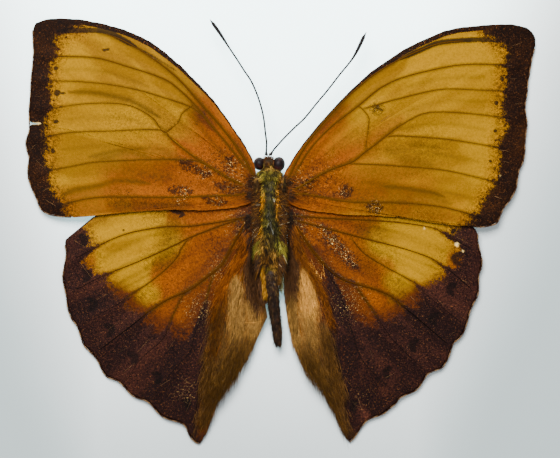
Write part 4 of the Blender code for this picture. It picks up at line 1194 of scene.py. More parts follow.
LEFT_FOREWING = Wing("left_forewing", LEFT_FOREWING_ROOT, LEFT_FOREWING_COSTA, LEFT_FOREWING_MARGIN,
                     LEFT_FOREWING_HIND, forewing_height, LEFT_FORE_VEINS, LEFT_FORE_MARKS,
                     (TEAR_TIP, TEAR_HALF_WIDTH))
RIGHT_FOREWING = Wing("right_forewing", RIGHT_FOREWING_ROOT, RIGHT_FOREWING_COSTA, RIGHT_FOREWING_MARGIN,
                      RIGHT_FOREWING_HIND, forewing_height, RIGHT_FORE_VEINS, RIGHT_FORE_MARKS)
LEFT_HINDWING = Wing("left_hindwing", LEFT_HINDWING_ROOT, LEFT_HINDWING_COSTA, LEFT_HINDWING_MARGIN,
                     LEFT_HINDWING_INNER, hindwing_height, LEFT_HIND_VEINS, LEFT_HIND_MARKS)
RIGHT_HINDWING = Wing("right_hindwing", RIGHT_HINDWING_ROOT, RIGHT_HINDWING_COSTA, RIGHT_HINDWING_MARGIN,
                      RIGHT_HINDWING_INNER, hindwing_height, RIGHT_HIND_VEINS, RIGHT_HIND_MARKS)
LEFT_FOREWING.build(FOREWING_FINISH, "wing_ochre")
RIGHT_FOREWING.build(FOREWING_FINISH, "wing_ochre")
LEFT_HINDWING.build(HINDWING_FINISH, "wing_brown")
RIGHT_HINDWING.build(HINDWING_FINISH, "wing_brown")


# Body

def rough_oval(centre, radii, turn=0.0, rings=26, sides=44):
    """Rings of an egg-shaped body around the Z direction, turned about Z by an angle in degrees."""
    rise = np.linspace(-math.pi / 2.0 + 0.06, math.pi / 2.0 - 0.06, rings)[:, None]
    around = np.linspace(0.0, 2.0 * math.pi, sides, endpoint=False)[None, :]
    x = radii[0] * np.cos(rise) * np.cos(around)
    y = radii[1] * np.cos(rise) * np.sin(around)
    z = radii[2] * np.sin(rise) + 0.0 * around
    return np.stack([*turned(x, y, turn), z], axis=2) + np.array(centre)


def section_at(sections, y):
    """The values of a list of cross-sections, whose first number is y, at any y."""
    table = np.array(sections)[::-1]
    return [np.interp(y, table[:, 0], column) for column in table.T[1:]]


THORAX_CORE = 0.84
THORAX_BACK = 0.90
THORAX_FLAT = 0.86


def thorax_surface(y, angle):
    """Squarish ovals with a level belly, a little inside the hair's reach, with soft muscle swellings."""
    middle, half, belly, back = section_at(THORAX_SECTIONS, y)
    across = np.sign(np.cos(angle)) * np.abs(np.cos(angle)) ** 0.87
    rise = np.sign(np.sin(angle)) * np.abs(np.sin(angle)) ** 0.87
    share = (np.maximum(rise, -THORAX_FLAT) + THORAX_FLAT) / (1.0 + THORAX_FLAT)
    swell = 1.0 + 0.035 * np.sin(y * 1.9 + 0.6) * np.sin(2.0 * angle)
    x = middle + half * THORAX_CORE * swell * across
    return np.stack([x, y, belly + (back * THORAX_BACK - belly) * share], axis=-1)


def abdomen_surface(y, angle):
    """Round rings whose size swells and steps in again at each of the segments."""
    middle, height, radius = section_at(ABDOMEN_SECTIONS, y)
    along = (-9.8 - y) / 1.62
    segment = along - np.floor(along)
    size = radius * (0.82 + 0.10 * np.sin(math.pi * np.clip(segment, 0.0, 1.0)) ** 0.6)
    flat_sides = 1.0 - 0.10 * np.cos(2.0 * angle)
    return np.stack([middle + size * flat_sides * np.cos(angle), y, height + size * np.sin(angle)], axis=-1)


def outward(surface, y, angle):
    """The unit normal of a surface of y and angle, from small steps along both."""
    here = surface(y, angle)
    by_y = surface(y - 0.05, angle) - here
    by_angle = surface(y, angle + 0.03) - here
    normal = np.cross(by_angle, by_y)
    return unit(normal)


OLIVE_DARK = (0.024, 0.020, 0.003)
OLIVE = (0.092, 0.076, 0.007)
YELLOW_GREEN = (0.175, 0.150, 0.014)
TAN = (0.29, 0.135, 0.020)
ORANGE_YELLOW = (0.38, 0.135, 0.0)
SILVER_GLINT = (0.70, 0.72, 0.64)
BROWN = (0.042, 0.018, 0.004)
ORANGE_BROWN = (0.100, 0.028, 0.003)
SHADOW = (0.006, 0.004, 0.003)
COLLAR_OLIVE = (0.110, 0.088, 0.010)
STRIPE_ORANGE = (0.34, 0.125, 0.008)
FACE_DARK = (0.012, 0.005, 0.002)
FACE_RUST = (0.17, 0.050, 0.002)

# Coloured strokes on the body: width, strength, colour and path. The silver strokes are painted glints on the
# thorax's hair.
BODY_STROKES = [
    (0.9, 0.9, COLLAR_OLIVE, [(-1.4, 4.8), (1.4, 4.7)]), (0.5, 0.9, BROWN, [(-0.6, 5.5), (-0.2, 4.7)]),
    (0.4, 0.9, BROWN, [(0.9, 5.4), (0.7, 4.6)]), (0.8, 0.9, OLIVE, [(-0.8, 4.6), (-0.4, 2.6)]),
    (0.45, 2.2, TAN, [(-1.7, 4.0), (-1.6, 2.0)]),
    (0.27, 5.5, ORANGE_YELLOW, [(-1.0, 1.5), (-1.3, -0.5), (-1.6, -2.0), (-1.5, -4.0)]),
    (0.28, 5.0, STRIPE_ORANGE, [(1.6, 4.4), (1.2, 2.5), (1.05, 0.5), (1.3, -1.5), (1.8, -3.2), (2.3, -4.2)]),
    # Painted glint of silver along the thorax's middle.
    (0.06, 0.7, SILVER_GLINT, [(-0.1, -0.6), (0.0, -2.0), (0.1, -2.9)]),
    (0.6, 2.6, OLIVE_DARK, [(0.2, 2.6), (0.1, -3.8)]),
    # Painted glints.
    (0.10, 1.2, SILVER_GLINT, [(0.5, 1.0)]), (0.10, 1.2, SILVER_GLINT, [(0.4, -3.6)]),
    (0.10, 1.2, SILVER_GLINT, [(-0.1, -5.2)]),
    (0.5, 1.8, YELLOW_GREEN, [(-2.2, -5.4), (-2.0, -6.8)]),
    (0.5, 1.8, YELLOW_GREEN, [(1.2, -5.6), (2.1, -6.6)]),
    (0.6, 0.9, TAN, [(-1.3, -4.6), (-1.2, -7.2)]), (0.5, 0.8, TAN, [(0.4, -6.8), (0.6, -9.0)]),
    (0.7, 1.0, BROWN, [(0.2, -4.6), (-0.2, -6.6)]),
    (1.0, 1.6, ORANGE_BROWN, [(-0.3, -7.7)]), (0.6, 1.0, ORANGE_BROWN, [(1.0, -8.3)]),
    (0.35, 1.8, YELLOW_GREEN, [(-1.7, -9.4), (-0.9, -9.9), (0.0, -9.7)]),
    (0.5, 1.3, SHADOW, [(-2.4, 3.0), (-2.3, -4.0)]), (0.5, 1.3, SHADOW, [(2.5, 2.5), (2.3, -2.0)]),
    (0.60, 3.0, FACE_DARK, [(-0.6, 6.6), (0.6, 6.6)]), (0.30, 4.0, FACE_RUST, [(-0.6, 7.5), (0.5, 7.5)]),
    (0.22, 2.5, ORANGE_BROWN, [(-0.5, 6.9), (-0.4, 6.2)]), (0.18, 2.0, FACE_RUST, [(0.5, 6.9), (0.5, 6.4)]),
    (0.22, 2.0, TAN, [(-1.2, 5.4), (0.0, 5.7), (1.2, 5.3)]),
    (0.5, 0.8, OLIVE_DARK, [(0.0, -5.5), (0.3, -9.0)]),
]


def clumps(roots, size):
    """A number from 0 to 1 for each hair, the same for all in one small cube, as in matted hair."""
    cell = np.floor(roots / size).astype(int)
    return (np.abs(np.sin(cell @ np.array([12.9898, 78.233, 37.719])) * 43758.5453) % 1.0)[:, None]


def body_tones(roots, base):
    """Each hair's colour from the strokes near its root, with the base colour where there are none."""
    total = np.full((len(roots), 1), 0.30)
    tones = total * np.array(base)
    for width, strength, colour, path in BODY_STROKES:
        flat = roots[:, :2]
        gap = nearest(flat, path)[0] if len(path) > 1 else np.linalg.norm(flat - path[0], axis=1)
        weight = strength * np.exp(-(gap / width) ** 2)[:, None]
        total += weight
        tones += weight * np.array(colour)
    light = np.exp(chance.normal(0.0, 0.55, (len(roots), 1))) * (0.10 + 1.90 * clumps(roots, 0.34) ** 2)
    return tones / total * light


def surface_coat(surface, count, low, high, length, lift, wild, sink=0.05):
    """Roots, aims and bends of hair that lies backwards along a surface of y and angle, tousled by wild."""
    y = chance.uniform(low, high, count)
    angle = chance.uniform(0.0, 2.0 * math.pi, count)
    root = surface(y, angle)
    normal = outward(surface, y, angle)
    lengths = length * chance.uniform(0.45, 1.35, (count, 1))
    aims = (np.array([[0.0, -1.0, 0.0]]) + normal * lift + chance.normal(0.0, wild, (count, 3))) * lengths
    inwards = np.minimum((aims * normal).sum(axis=1, keepdims=True), 0.0)
    aims -= inwards * normal
    bends = -normal * lift * 0.35 * lengths + chance.normal(0.0, 0.05, (count, 3))
    root = root - normal * sink
    lowest = root[:, 2] + aims[:, 2] + bends[:, 2]
    aims[:, 2] += np.maximum(0.05 - lowest, 0.0)
    return root, aims, bends


def keep_low(root, aims, bends, ceiling):
    """Hair whose tips rise over the ceiling is bent down to it."""
    tip = root[:, 2] + aims[:, 2] + bends[:, 2]
    aims[:, 2] -= np.maximum(tip - ceiling, 0.0)


THORAX_HAIRS = 15000
COLLAR_HAIRS = 2600
SEAM_HAIRS = 900
FLANK_HAIRS = 7600
UNDER_WING_HAIRS = 5600
ABDOMEN_HAIRS = 7000
HEAD_HAIRS = 4200
HAIR_CEILING = 5.52
LOW_FLANK = 2.2


def build_thorax():
    y = np.linspace(4.60, -9.50, 90)[:, None]
    angle = np.linspace(0.0, 2.0 * math.pi, 60, endpoint=False)[None, :]
    rings = thorax_surface(*np.broadcast_arrays(y, angle))
    make_piece("thorax_skin", *rings_to_body(rings), SKIN_FINISH, "body_hair", ["thorax"])
    root, aims, bends = surface_coat(thorax_surface, THORAX_HAIRS, -9.3, 4.5, 0.72, 0.50, 0.42)
    keep = (root[:, 2] > LOW_FLANK) | (chance.random(len(root)) < 0.45)
    root, aims, bends = root[keep], aims[keep], bends[keep]
    tones = body_tones(root, OLIVE)
    # Painted shade: hair low on the flanks is darker.
    tones[root[:, 2] < LOW_FLANK] *= 0.55
    radius = chance.uniform(0.022, 0.050, len(root))
    collar_x = chance.uniform(-1.75, 1.75, COLLAR_HAIRS)
    collar_y = 5.55 - 0.22 * collar_x ** 2 - chance.uniform(0.0, 1.3, COLLAR_HAIRS)
    arch = np.sqrt(1.0 - (collar_x / 1.95) ** 2)
    collar = np.column_stack([collar_x - 0.08, collar_y, 3.45 + 0.95 * arch + 0.30 * (5.4 - collar_y)])
    collar_aims = np.column_stack([0.22 * collar_x, np.full(COLLAR_HAIRS, -0.55), 0.25 * arch])
    collar_aims = collar_aims + chance.normal(0.0, 0.22, (COLLAR_HAIRS, 3))
    seam, seam_aims, seam_bends = surface_coat(thorax_surface, SEAM_HAIRS, -9.50, -9.10, 1.0, 0.12, 0.25)
    root = np.vstack([root, collar, seam])
    aims = np.vstack([aims, collar_aims, seam_aims])
    bends = np.vstack([bends, np.zeros_like(collar), seam_bends])
    tones = np.vstack([tones, body_tones(collar, OLIVE), body_tones(seam, OLIVE)])
    radius = np.concatenate([radius, chance.uniform(0.025, 0.05, COLLAR_HAIRS), np.full(len(seam), 0.030)])
    keep_low(root, aims, bends, HAIR_CEILING)
    add_hair("thorax_coat", root, aims, bends, radius, tones, "body_hair")
    flank, flank_aims, flank_bends, flank_tones = flank_hair()
    under, under_aims, under_bends, under_tones = hair_under_wings()
    root = np.vstack([flank, under])
    aims = np.vstack([flank_aims, under_aims])
    bends = np.vstack([flank_bends, under_bends])
    radius = np.concatenate([np.full(len(flank), 0.022), np.full(len(under), 0.030)])
    keep_low(root, aims, bends, HAIR_CEILING)
    add_hair("flank_coat", root, aims, bends, radius, np.vstack([flank_tones, under_tones]), "body_hair")


def flank_hair():
    """Long loose hair from the sides of the thorax out over the wing bases, dark with some rusty hairs."""
    count = FLANK_HAIRS
    side = np.where(chance.random(count) < 0.5, -1.0, 1.0)
    rear = chance.random(count) < 0.40
    y = np.where(rear, chance.uniform(-9.4, -1.5, count), chance.uniform(-8.2, 4.2, count))
    behind = step(-2.0, -7.5, y)
    root = np.column_stack([side * chance.uniform(1.25, 2.0, count), y,
                            4.62 - 0.75 * behind + chance.normal(0, 0.08, count)])
    length = chance.uniform(0.5, 1.25 + 0.4 * behind, count)
    swing = chance.normal(-0.1, 0.50, count)
    aims = np.column_stack([side * (1.0 - 0.42 * behind), -0.15 - 0.85 * behind + swing,
                            0.10 - 0.30 * behind])
    aims = aims * length[:, None]
    bends = np.column_stack([np.zeros(count), np.zeros(count), -0.14 * length])
    darkest, lighter = np.array((0.005, 0.0025, 0.001)), np.array((0.050, 0.018, 0.003))
    tones = darkest + lighter * chance.random((count, 1)) ** 2
    rusty = chance.random(count) < 0.30
    tones[rusty] = np.array((0.15, 0.055, 0.004)) * chance.uniform(0.4, 1.3, (rusty.sum(), 1))
    tuft = (np.abs(y + 6.2) < 0.9) & (chance.random(count) < 0.65)
    tones[tuft] = np.array(YELLOW_GREEN) * chance.uniform(0.4, 1.5, (tuft.sum(), 1))
    pale = chance.random(count) < 0.010
    tones[pale] = (0.55, 0.45, 0.26)
    return root, aims, bends, tones


def hair_under_wings():
    """Dark hair from the sides of the thorax out under the wing bases; its near-black tone is partly painted
    shade there.
    """
    count = UNDER_WING_HAIRS
    side = np.where(chance.random(count) < 0.5, -1.0, 1.0)
    root = np.column_stack([side * chance.uniform(1.2, 1.6, count), chance.uniform(-9.3, 4.3, count),
                            chance.uniform(3.1, 3.9, count)])
    length = chance.uniform(1.1, 1.8, count)
    aims = np.column_stack([side, chance.normal(-0.20, 0.25, count), np.full(count, -0.10)]) * length[:, None]
    bends = np.column_stack([np.zeros(count), np.zeros(count), -0.10 * length])
    tones = np.array((0.007, 0.0035, 0.0014)) * np.exp(chance.normal(0.0, 0.6, (count, 1)))
    brown = chance.random(count) < 0.18
    tones[brown] = np.array((0.060, 0.024, 0.004)) * chance.uniform(0.4, 1.3, (brown.sum(), 1))
    return root, aims, bends, tones


def build_abdomen():
    y = np.linspace(-9.80, -21.05, 150)[:, None]
    angle = np.linspace(0.0, 2.0 * math.pi, 48, endpoint=False)[None, :]
    rings = abdomen_surface(*np.broadcast_arrays(y, angle))
    make_piece("abdomen_skin", *rings_to_body(rings), ABDOMEN_FINISH, "abdomen_brown", ["abdomen"])
    root, aims, bends = surface_coat(abdomen_surface, ABDOMEN_HAIRS, -20.9, -9.9, 0.50, 0.30, 0.30, 0.03)
    tones = np.array((0.004, 0.002, 0.001)) + np.array((0.042, 0.016, 0.006)) * clumps(root, 0.30) ** 2
    tan = chance.random(len(root)) < 0.07 + 0.12 * step(-16.0, -12.0, root[:, 1])
    tones[tan] = np.array((0.13, 0.070, 0.018)) * chance.uniform(0.4, 1.3, (tan.sum(), 1))
    beside = [beside_abdomen(*lock) for lock in (
        (900, [(-1.05, -9.3), (-0.95, -11.0), (-0.60, -13.6)], 0.14, 3.25, STRIP_HAIR, 0.9),
        (1500, [(-1.75, -8.0), (-1.35, -11.0), (-0.95, -14.2)], 0.22, 2.55, PLUM_HAIR, 1.3),
        (600, [(1.65, -8.6), (1.70, -12.2)], 0.13, 2.60, PALE_OLIVE_HAIR, 1.2),
        (500, [(1.2, -8.6), (1.25, -11.5)], 0.20, 3.35, BROWN_HAIR, 0.9))]
    root, aims, tones = (np.vstack([first, *more]) for first, more in zip((root, aims, tones), zip(*beside)))
    bends = np.zeros_like(root)
    keep_low(root, aims, bends, 5.4)
    add_hair("abdomen_coat", root, aims, bends, 0.030, tones, "abdomen_brown")


def beside_abdomen(count, path, spread, height, tones, length):
    """Hair that runs backwards beside the abdomen at one height, scattered about a path."""
    place = smooth_path(path, 50)[chance.integers(0, 50, count)] + chance.normal(0.0, spread, (count, 2))
    sink = 0.045 * np.maximum(-place[:, 1] - 9.0, 0.0)
    root = np.column_stack([place, height - sink + chance.normal(0.0, 0.12, count)])
    aims = np.column_stack([chance.normal(0.0, 0.14, count), np.full(count, -1.0),
                            chance.normal(-0.08, 0.08, count)])
    shade = np.array(tones[0]) + (np.array(tones[1]) - np.array(tones[0])) * chance.random((count, 1)) ** 1.5
    return root, aims * length * chance.uniform(0.4, 1.2, (count, 1)), shade


def push_out_of_eye(points, centre, radii, turn, gap):
    """Points inside the eye, grown by a gap, move towards the head's middle until they are outside."""
    a = math.radians(turn)
    local = points - np.array(centre)
    along = local[..., 0] * math.cos(a) + local[..., 1] * math.sin(a)
    across = local[..., 1] * math.cos(a) - local[..., 0] * math.sin(a)
    rx, ry, rz = (value + gap for value in radii)
    room = 1.0 - (across / ry) ** 2 - (local[..., 2] / rz) ** 2
    side = 1.0 if centre[0] < 0.0 else -1.0
    target = side * rx * np.sqrt(np.maximum(room, 0.0))
    inside = (room > 0.0) & (side * along < side * target)
    shift = np.where(inside, target - along, 0.0)
    moved = points.copy()
    moved[..., 0] += shift * math.cos(a)
    moved[..., 1] += shift * math.sin(a)
    return moved


def build_head():
    radii = tuple(value * 0.88 for value in HEAD_RADII)
    rings = rough_oval(HEAD_CENTRE, radii, rings=40, sides=64)
    for centre, eye, turn in ((LEFT_EYE_CENTRE, LEFT_EYE_RADII, 0.0), (RIGHT_EYE_CENTRE, RIGHT_EYE_RADII,
                                                                       RIGHT_EYE_TURN)):
        rings = push_out_of_eye(rings, centre, eye, turn, 0.03)
    make_piece("head_skin", *rings_to_body(rings), SKIN_FINISH, "body_hair", ["head"])
    pick = rings.reshape(-1, 3)[chance.integers(0, rings.shape[0] * rings.shape[1], HEAD_HAIRS)]
    away = pick - np.array(HEAD_CENTRE)
    near_eye = (np.abs(away[:, 0]) > 0.95) | ((np.abs(away[:, 0]) > 0.62) & (away[:, 2] < 0.4))
    pick, away = pick[~near_eye], away[~near_eye]
    away /= np.linalg.norm(away, axis=1)[:, None]
    front = step(6.2, 7.0, pick[:, 1])[:, None]
    combed = away * (0.35 + 0.35 * front) + np.array([[0.0, -0.75, 0.0]]) * (1.0 - front) + chance.normal(
        0.0, 0.16, pick.shape)
    lengths = 0.62 * chance.uniform(0.6, 1.2, (len(pick), 1))
    tones = body_tones(pick, OLIVE)
    brown = np.exp(-((pick[:, 1:2] - 7.2) / 0.7) ** 2)
    tones = tones * (1.0 - brown) + np.array(ORANGE_BROWN) * brown * chance.uniform(0.3, 1.2, (len(pick), 1))
    add_hair("head_coat", pick - away * 0.03, combed * lengths, np.zeros_like(pick), 0.026, tones,
             "body_hair")


def build_eye(name, centre, radii, turn):
    rings = rough_oval(centre, [value * 0.985 for value in radii], turn, 40, 64)
    make_piece(name + "_lens", *rings_to_body(rings), EYE_FINISH, "eye_brown", [name])


SHAFT_RADIUS = 0.135
CLUB_RADIUS = 0.265
ANTENNA_RINGS = 52.0


def build_antenna(name, route):
    """A ringed shaft: its radius swells a little in each ring, and into the club over the last quarter."""
    count = 520
    line = smooth_path(route, count)
    share = np.linspace(0.0, 1.0, count)
    swell = step(0.75, 0.93, share)
    blunt = 1.0 - 0.75 * step(0.955, 1.0, share)
    base = 1.0 + 0.7 * step(0.030, 0.0, share)
    rings = 1.0 + 0.05 * np.cos(2.0 * math.pi * share * ANTENNA_RINGS)
    radii = (SHAFT_RADIUS + (CLUB_RADIUS - SHAFT_RADIUS) * swell) * blunt * base * rings
    make_piece(name + "_rings", *rings_to_body(swept_rings(line, radii)), ANTENNA_FINISH, "antenna_black",
               [name])


def build_limb(name, route, side, spines):
    """A leg: femur, tibia and ringed foot as one tube that narrows at each joint, with short spines."""
    route = np.array(route) * np.array([side, 1.0, 1.0, 1.0])
    line = smooth_path(route, 140)
    share = np.linspace(0.0, 1.0, 140)
    foot = step(0.55, 0.65, share)
    radii = line[:, 3] * (0.86 + 0.10 * foot * np.cos(2.0 * math.pi * share * 14.0))
    points, quads, triangles = rings_to_body(swept_rings(line[:, :3], radii))
    make_piece(name + "_shell", points, quads, triangles, LEG_FINISH, "leg_brown", [name])
    place = chance.integers(30, 138, spines)
    heading = np.gradient(line[:, :3], axis=0)[place]
    heading /= np.linalg.norm(heading, axis=1)[:, None]
    out = np.cross(heading, chance.normal(0.0, 1.0, (spines, 3)))
    out /= np.linalg.norm(out, axis=1)[:, None]
    root = line[place, :3] + out * radii[place][:, None] * 0.8
    aims = (out * 0.6 + heading) * 0.20
    aims[:, 2] = np.maximum(aims[:, 2], 0.03 - root[:, 2])
    tones = np.tile(BROWN, (spines, 1)) * chance.uniform(0.5, 1.6, (spines, 1))
    add_hair(name + "_spines", root, aims, np.zeros((spines, 3)), 0.016, tones, "leg_brown")


def build_palp(name, side):
    route = np.array(PALP) * np.array([side, 1.0, 1.0, 1.0]) + np.array([PALP_MIDDLE, 0.0, 0.0, 0.0])
    line = smooth_path(route, 60)
    make_piece(name + "_core", *rings_to_body(swept_rings(line[:, :3], line[:, 3] * 0.7)), SKIN_FINISH,
               "body_hair", [name])
    count = 420
    place = chance.integers(2, 58, count)
    out = chance.normal(0.0, 1.0, (count, 3))
    out[:, 2] *= 0.2
    out /= np.linalg.norm(out, axis=1)[:, None]
    root = line[place, :3] + out * line[place, 3:] * 0.55
    aims = (out * 0.35 + np.array([[0.0, 0.15, 0.8]])) * 0.30
    tones = np.tile(ORANGE_BROWN, (count, 1)) * chance.uniform(0.3, 1.3, (count, 1))
    add_hair(name + "_coat", root, aims, np.zeros((count, 3)), 0.018, tones, "body_hair")


def build_tegula(name, side):
    """A shield-shaped scale with a coat of short hair, tilted outwards."""
    centre = np.array(TEGULA_CENTRE) * np.array([side, 1.0, 1.0])
    rings = rough_oval((0.0, 0.0, 0.0), [value * 0.9 for value in TEGULA_RADII], 0.0, 24, 40)
    a = math.radians(side * TEGULA_TILT)
    x, z = rings[..., 0].copy(), rings[..., 2].copy()
    rings[..., 0] = x * math.cos(a) + z * math.sin(a)
    rings[..., 2] = z * math.cos(a) - x * math.sin(a)
    rings += centre
    make_piece(name + "_shield", *rings_to_body(rings), SKIN_FINISH, "body_hair", [name])
    upper = rings.reshape(-1, 3)
    pick = upper[chance.integers(len(upper) // 2, len(upper), 700)]
    aims = np.array([[0.12 * side, -0.85, 0.10]]) * chance.uniform(0.3, 0.65, (len(pick), 1)) + chance.normal(
        0.0, 0.05, pick.shape)
    tones = body_tones(pick, OLIVE_DARK) * 0.4 + np.array(BROWN) * 0.4
    add_hair(name + "_coat", pick, aims, np.zeros_like(pick), 0.024, tones, "body_hair")


def build_proboscis():
    """A watch-spring coil under the head, with fine rings along it."""
    share = np.linspace(0.0, 1.0, 260)
    angle = math.pi / 2.0 + 2.0 * math.pi * PROBOSCIS_TURNS * share
    reach = PROBOSCIS_RADIUS * (1.0 - 0.72 * share)
    x, y, z = PROBOSCIS_CENTRE
    line = np.column_stack([np.full(260, x), y + reach * np.cos(angle), z + reach * np.sin(angle)])
    fine_rings = 1.0 + 0.06 * np.cos(2.0 * math.pi * share * 60.0)
    coil = swept_rings(line, PROBOSCIS_WIRE_RADIUS * (0.92 - 0.25 * share) * fine_rings)
    make_piece("proboscis_coil", *rings_to_body(coil), LEG_FINISH, "leg_brown", ["proboscis"])


def wing_hair(wing, count, path, spread, length, aim, tones, lift=0.10, radius=0.022):
    """Hair that lies on a wing near a path, combed along the aim, with the tips a little raised."""
    line = smooth_path(path, 60)
    place = line[chance.integers(0, 60, count)] + chance.normal(0.0, spread, (count, 2))
    middle = wing.height(place) + wing.relief(place) + MEMBRANE_HALF
    root = np.column_stack([place, middle - 0.02])
    lengths = length * chance.uniform(0.55, 1.3, (count, 1))
    flat = np.array([aim]) + chance.normal(0.0, 0.13, (count, 2))
    flat = flat / np.linalg.norm(flat, axis=1)[:, None] * lengths
    tip = place + flat
    fall = wing.height(tip) - wing.height(place)
    aims = np.column_stack([flat, fall + lift * lengths[:, 0]])
    shade = np.array(tones[0]) + (np.array(tones[1]) - np.array(tones[0])) * chance.random((count, 1)) ** 1.5
    return root, aims, np.zeros((count, 3)), np.full(count, radius), shade


def scratches(wing, ends):
    """Thin pale scratches and stuck threads that lie on the wing, each given by the x and y of both ends."""
    start, finish = np.array(ends)[:, :2], np.array(ends)[:, 2:]
    height = [wing.height(flat) + wing.relief(flat) + MEMBRANE_HALF + 0.01 for flat in (start, finish)]
    root = np.column_stack([start, height[0]])
    aims = np.column_stack([finish, height[1]]) - root
    shade = np.array((0.21, 0.105, 0.035)) * chance.uniform(0.3, 1.1, (len(root), 1))
    return root, aims, np.zeros((len(root), 3)), np.full(len(root), 0.020), shade


def build_wing_hair(wing, coats, ends):
    """All the hair of one wing and its scratches as one mesh."""
    made = [wing_hair(wing, *coat) for coat in coats] + [scratches(wing, ends)]
    root, aims, bends, radius, tones = (np.concatenate(parts) for parts in zip(*made))
    flat = root[:, :2]
    grid = np.vstack([wing.root, wing.outline[::-1]])
    inside = inside_polygon(flat, grid)
    add_hair(wing.node + "_hair", root[inside], aims[inside], bends[inside], radius[inside], tones[inside],
             "wing_ochre" if "fore" in wing.node else "wing_brown")


def inside_polygon(points, corners):
    """Whether each point is inside a closed outline: a ray to the right crosses an odd number of edges."""
    inside = np.zeros(len(points), bool)
    for (ax, ay), (bx, by) in zip(corners, np.roll(corners, -1, axis=0)):
        if ay == by:
            continue
        crosses = (ay > points[:, 1]) != (by > points[:, 1])
        inside ^= crosses & (points[:, 0] < (bx - ax) * (points[:, 1] - ay) / (by - ay) + ax)
    return inside


# Near-black hair at the wing roots; its darkness is partly painted shade there.
DARK_HAIR = ((0.003, 0.002, 0.001), (0.022, 0.009, 0.002))
PLUM_HAIR = ((0.011, 0.0050, 0.0020), (0.120, 0.046, 0.012))
STRIP_HAIR = ((0.12, 0.045, 0.002), (0.42, 0.19, 0.010))
FLAME_HAIR = ((0.070, 0.017, 0.0004), (0.36, 0.090, 0.001))
TAWNY_HAIR = ((0.026, 0.011, 0.001), (0.155, 0.066, 0.008))
CREAM_HAIR = ((0.22, 0.100, 0.018), (0.88, 0.40, 0.065))
PALE_OLIVE_HAIR = ((0.07, 0.07, 0.02), (0.26, 0.25, 0.12))
RUST_HAIR = ((0.040, 0.010, 0.0004), (0.230, 0.064, 0.002))
BROWN_HAIR = ((0.022, 0.0095, 0.001), (0.145, 0.058, 0.007))
BEIGE_HAIR = ((0.070, 0.034, 0.006), (0.42, 0.205, 0.042))

build_thorax()
build_abdomen()
build_head()
build_eye("left_eye", LEFT_EYE_CENTRE, LEFT_EYE_RADII, 0.0)
build_eye("right_eye", RIGHT_EYE_CENTRE, RIGHT_EYE_RADII, RIGHT_EYE_TURN)
build_antenna("left_antenna", LEFT_ANTENNA)
build_antenna("right_antenna", RIGHT_ANTENNA)
build_proboscis()
for word, side in (("left", -1.0), ("right", 1.0)):
    build_palp(word + "_palp", side)
    build_tegula(word + "_tegula", side)
    build_limb(word + "_foreleg", FORELEG, side, 60)
    build_limb(word + "_midleg", MIDLEG, side, 160)
    build_limb(word + "_hindleg", HINDLEG, side, 160)

build_wing_hair(LEFT_FOREWING, [
    (420, [(-2.2, 4.0), (-2.5, 0.8)], 0.4, 1.0, (-1.0, -0.3), DARK_HAIR),
    (360, [(-3.2, 3.5), (-4.4, 1.2)], 1.0, 1.0, (-1.0, -0.2), RUST_HAIR)],
    [(-36.3, 10.05, -34.2, 7.8), (-35.1, 6.75, -33.3, 4.95), (-34.8, 22.35, -32.7, 22.43),
     (-32.25, 3, -31.05, 1.2), (-34.05, 2.1, -32.85, 2.7), (-35.4, 16.35, -33.9, 16.2),
     (-36, 8.25, -34.95, 9.3), (-33.6, 0.75, -31.8, -0.3), (-12.9, 17.85, -12.15, 16.5),
     (-18, 22.2, -16.8, 21.6)])
build_wing_hair(RIGHT_FOREWING, [
    (420, [(2.3, 3.8), (2.5, 0.8)], 0.4, 1.0, (1.0, -0.3), DARK_HAIR),
    (360, [(3.3, 3.0), (4.4, 1.0)], 1.0, 1.0, (1.0, -0.2), RUST_HAIR)],
    [(35.55, 20.85, 37.5, 21), (36, 18.9, 37.65, 19.05), (36.75, 15.15, 38.4, 15.3),
     (34.95, 6.6, 36.45, 6.15), (36.3, 23.85, 38.1, 24.45), (35.25, 12.75, 37.35, 12.75),
     (34.5, 8.25, 36.3, 7.95), (16.5, 12.45, 18.45, 13.65), (33.6, 1.35, 35.1, 0.75)])
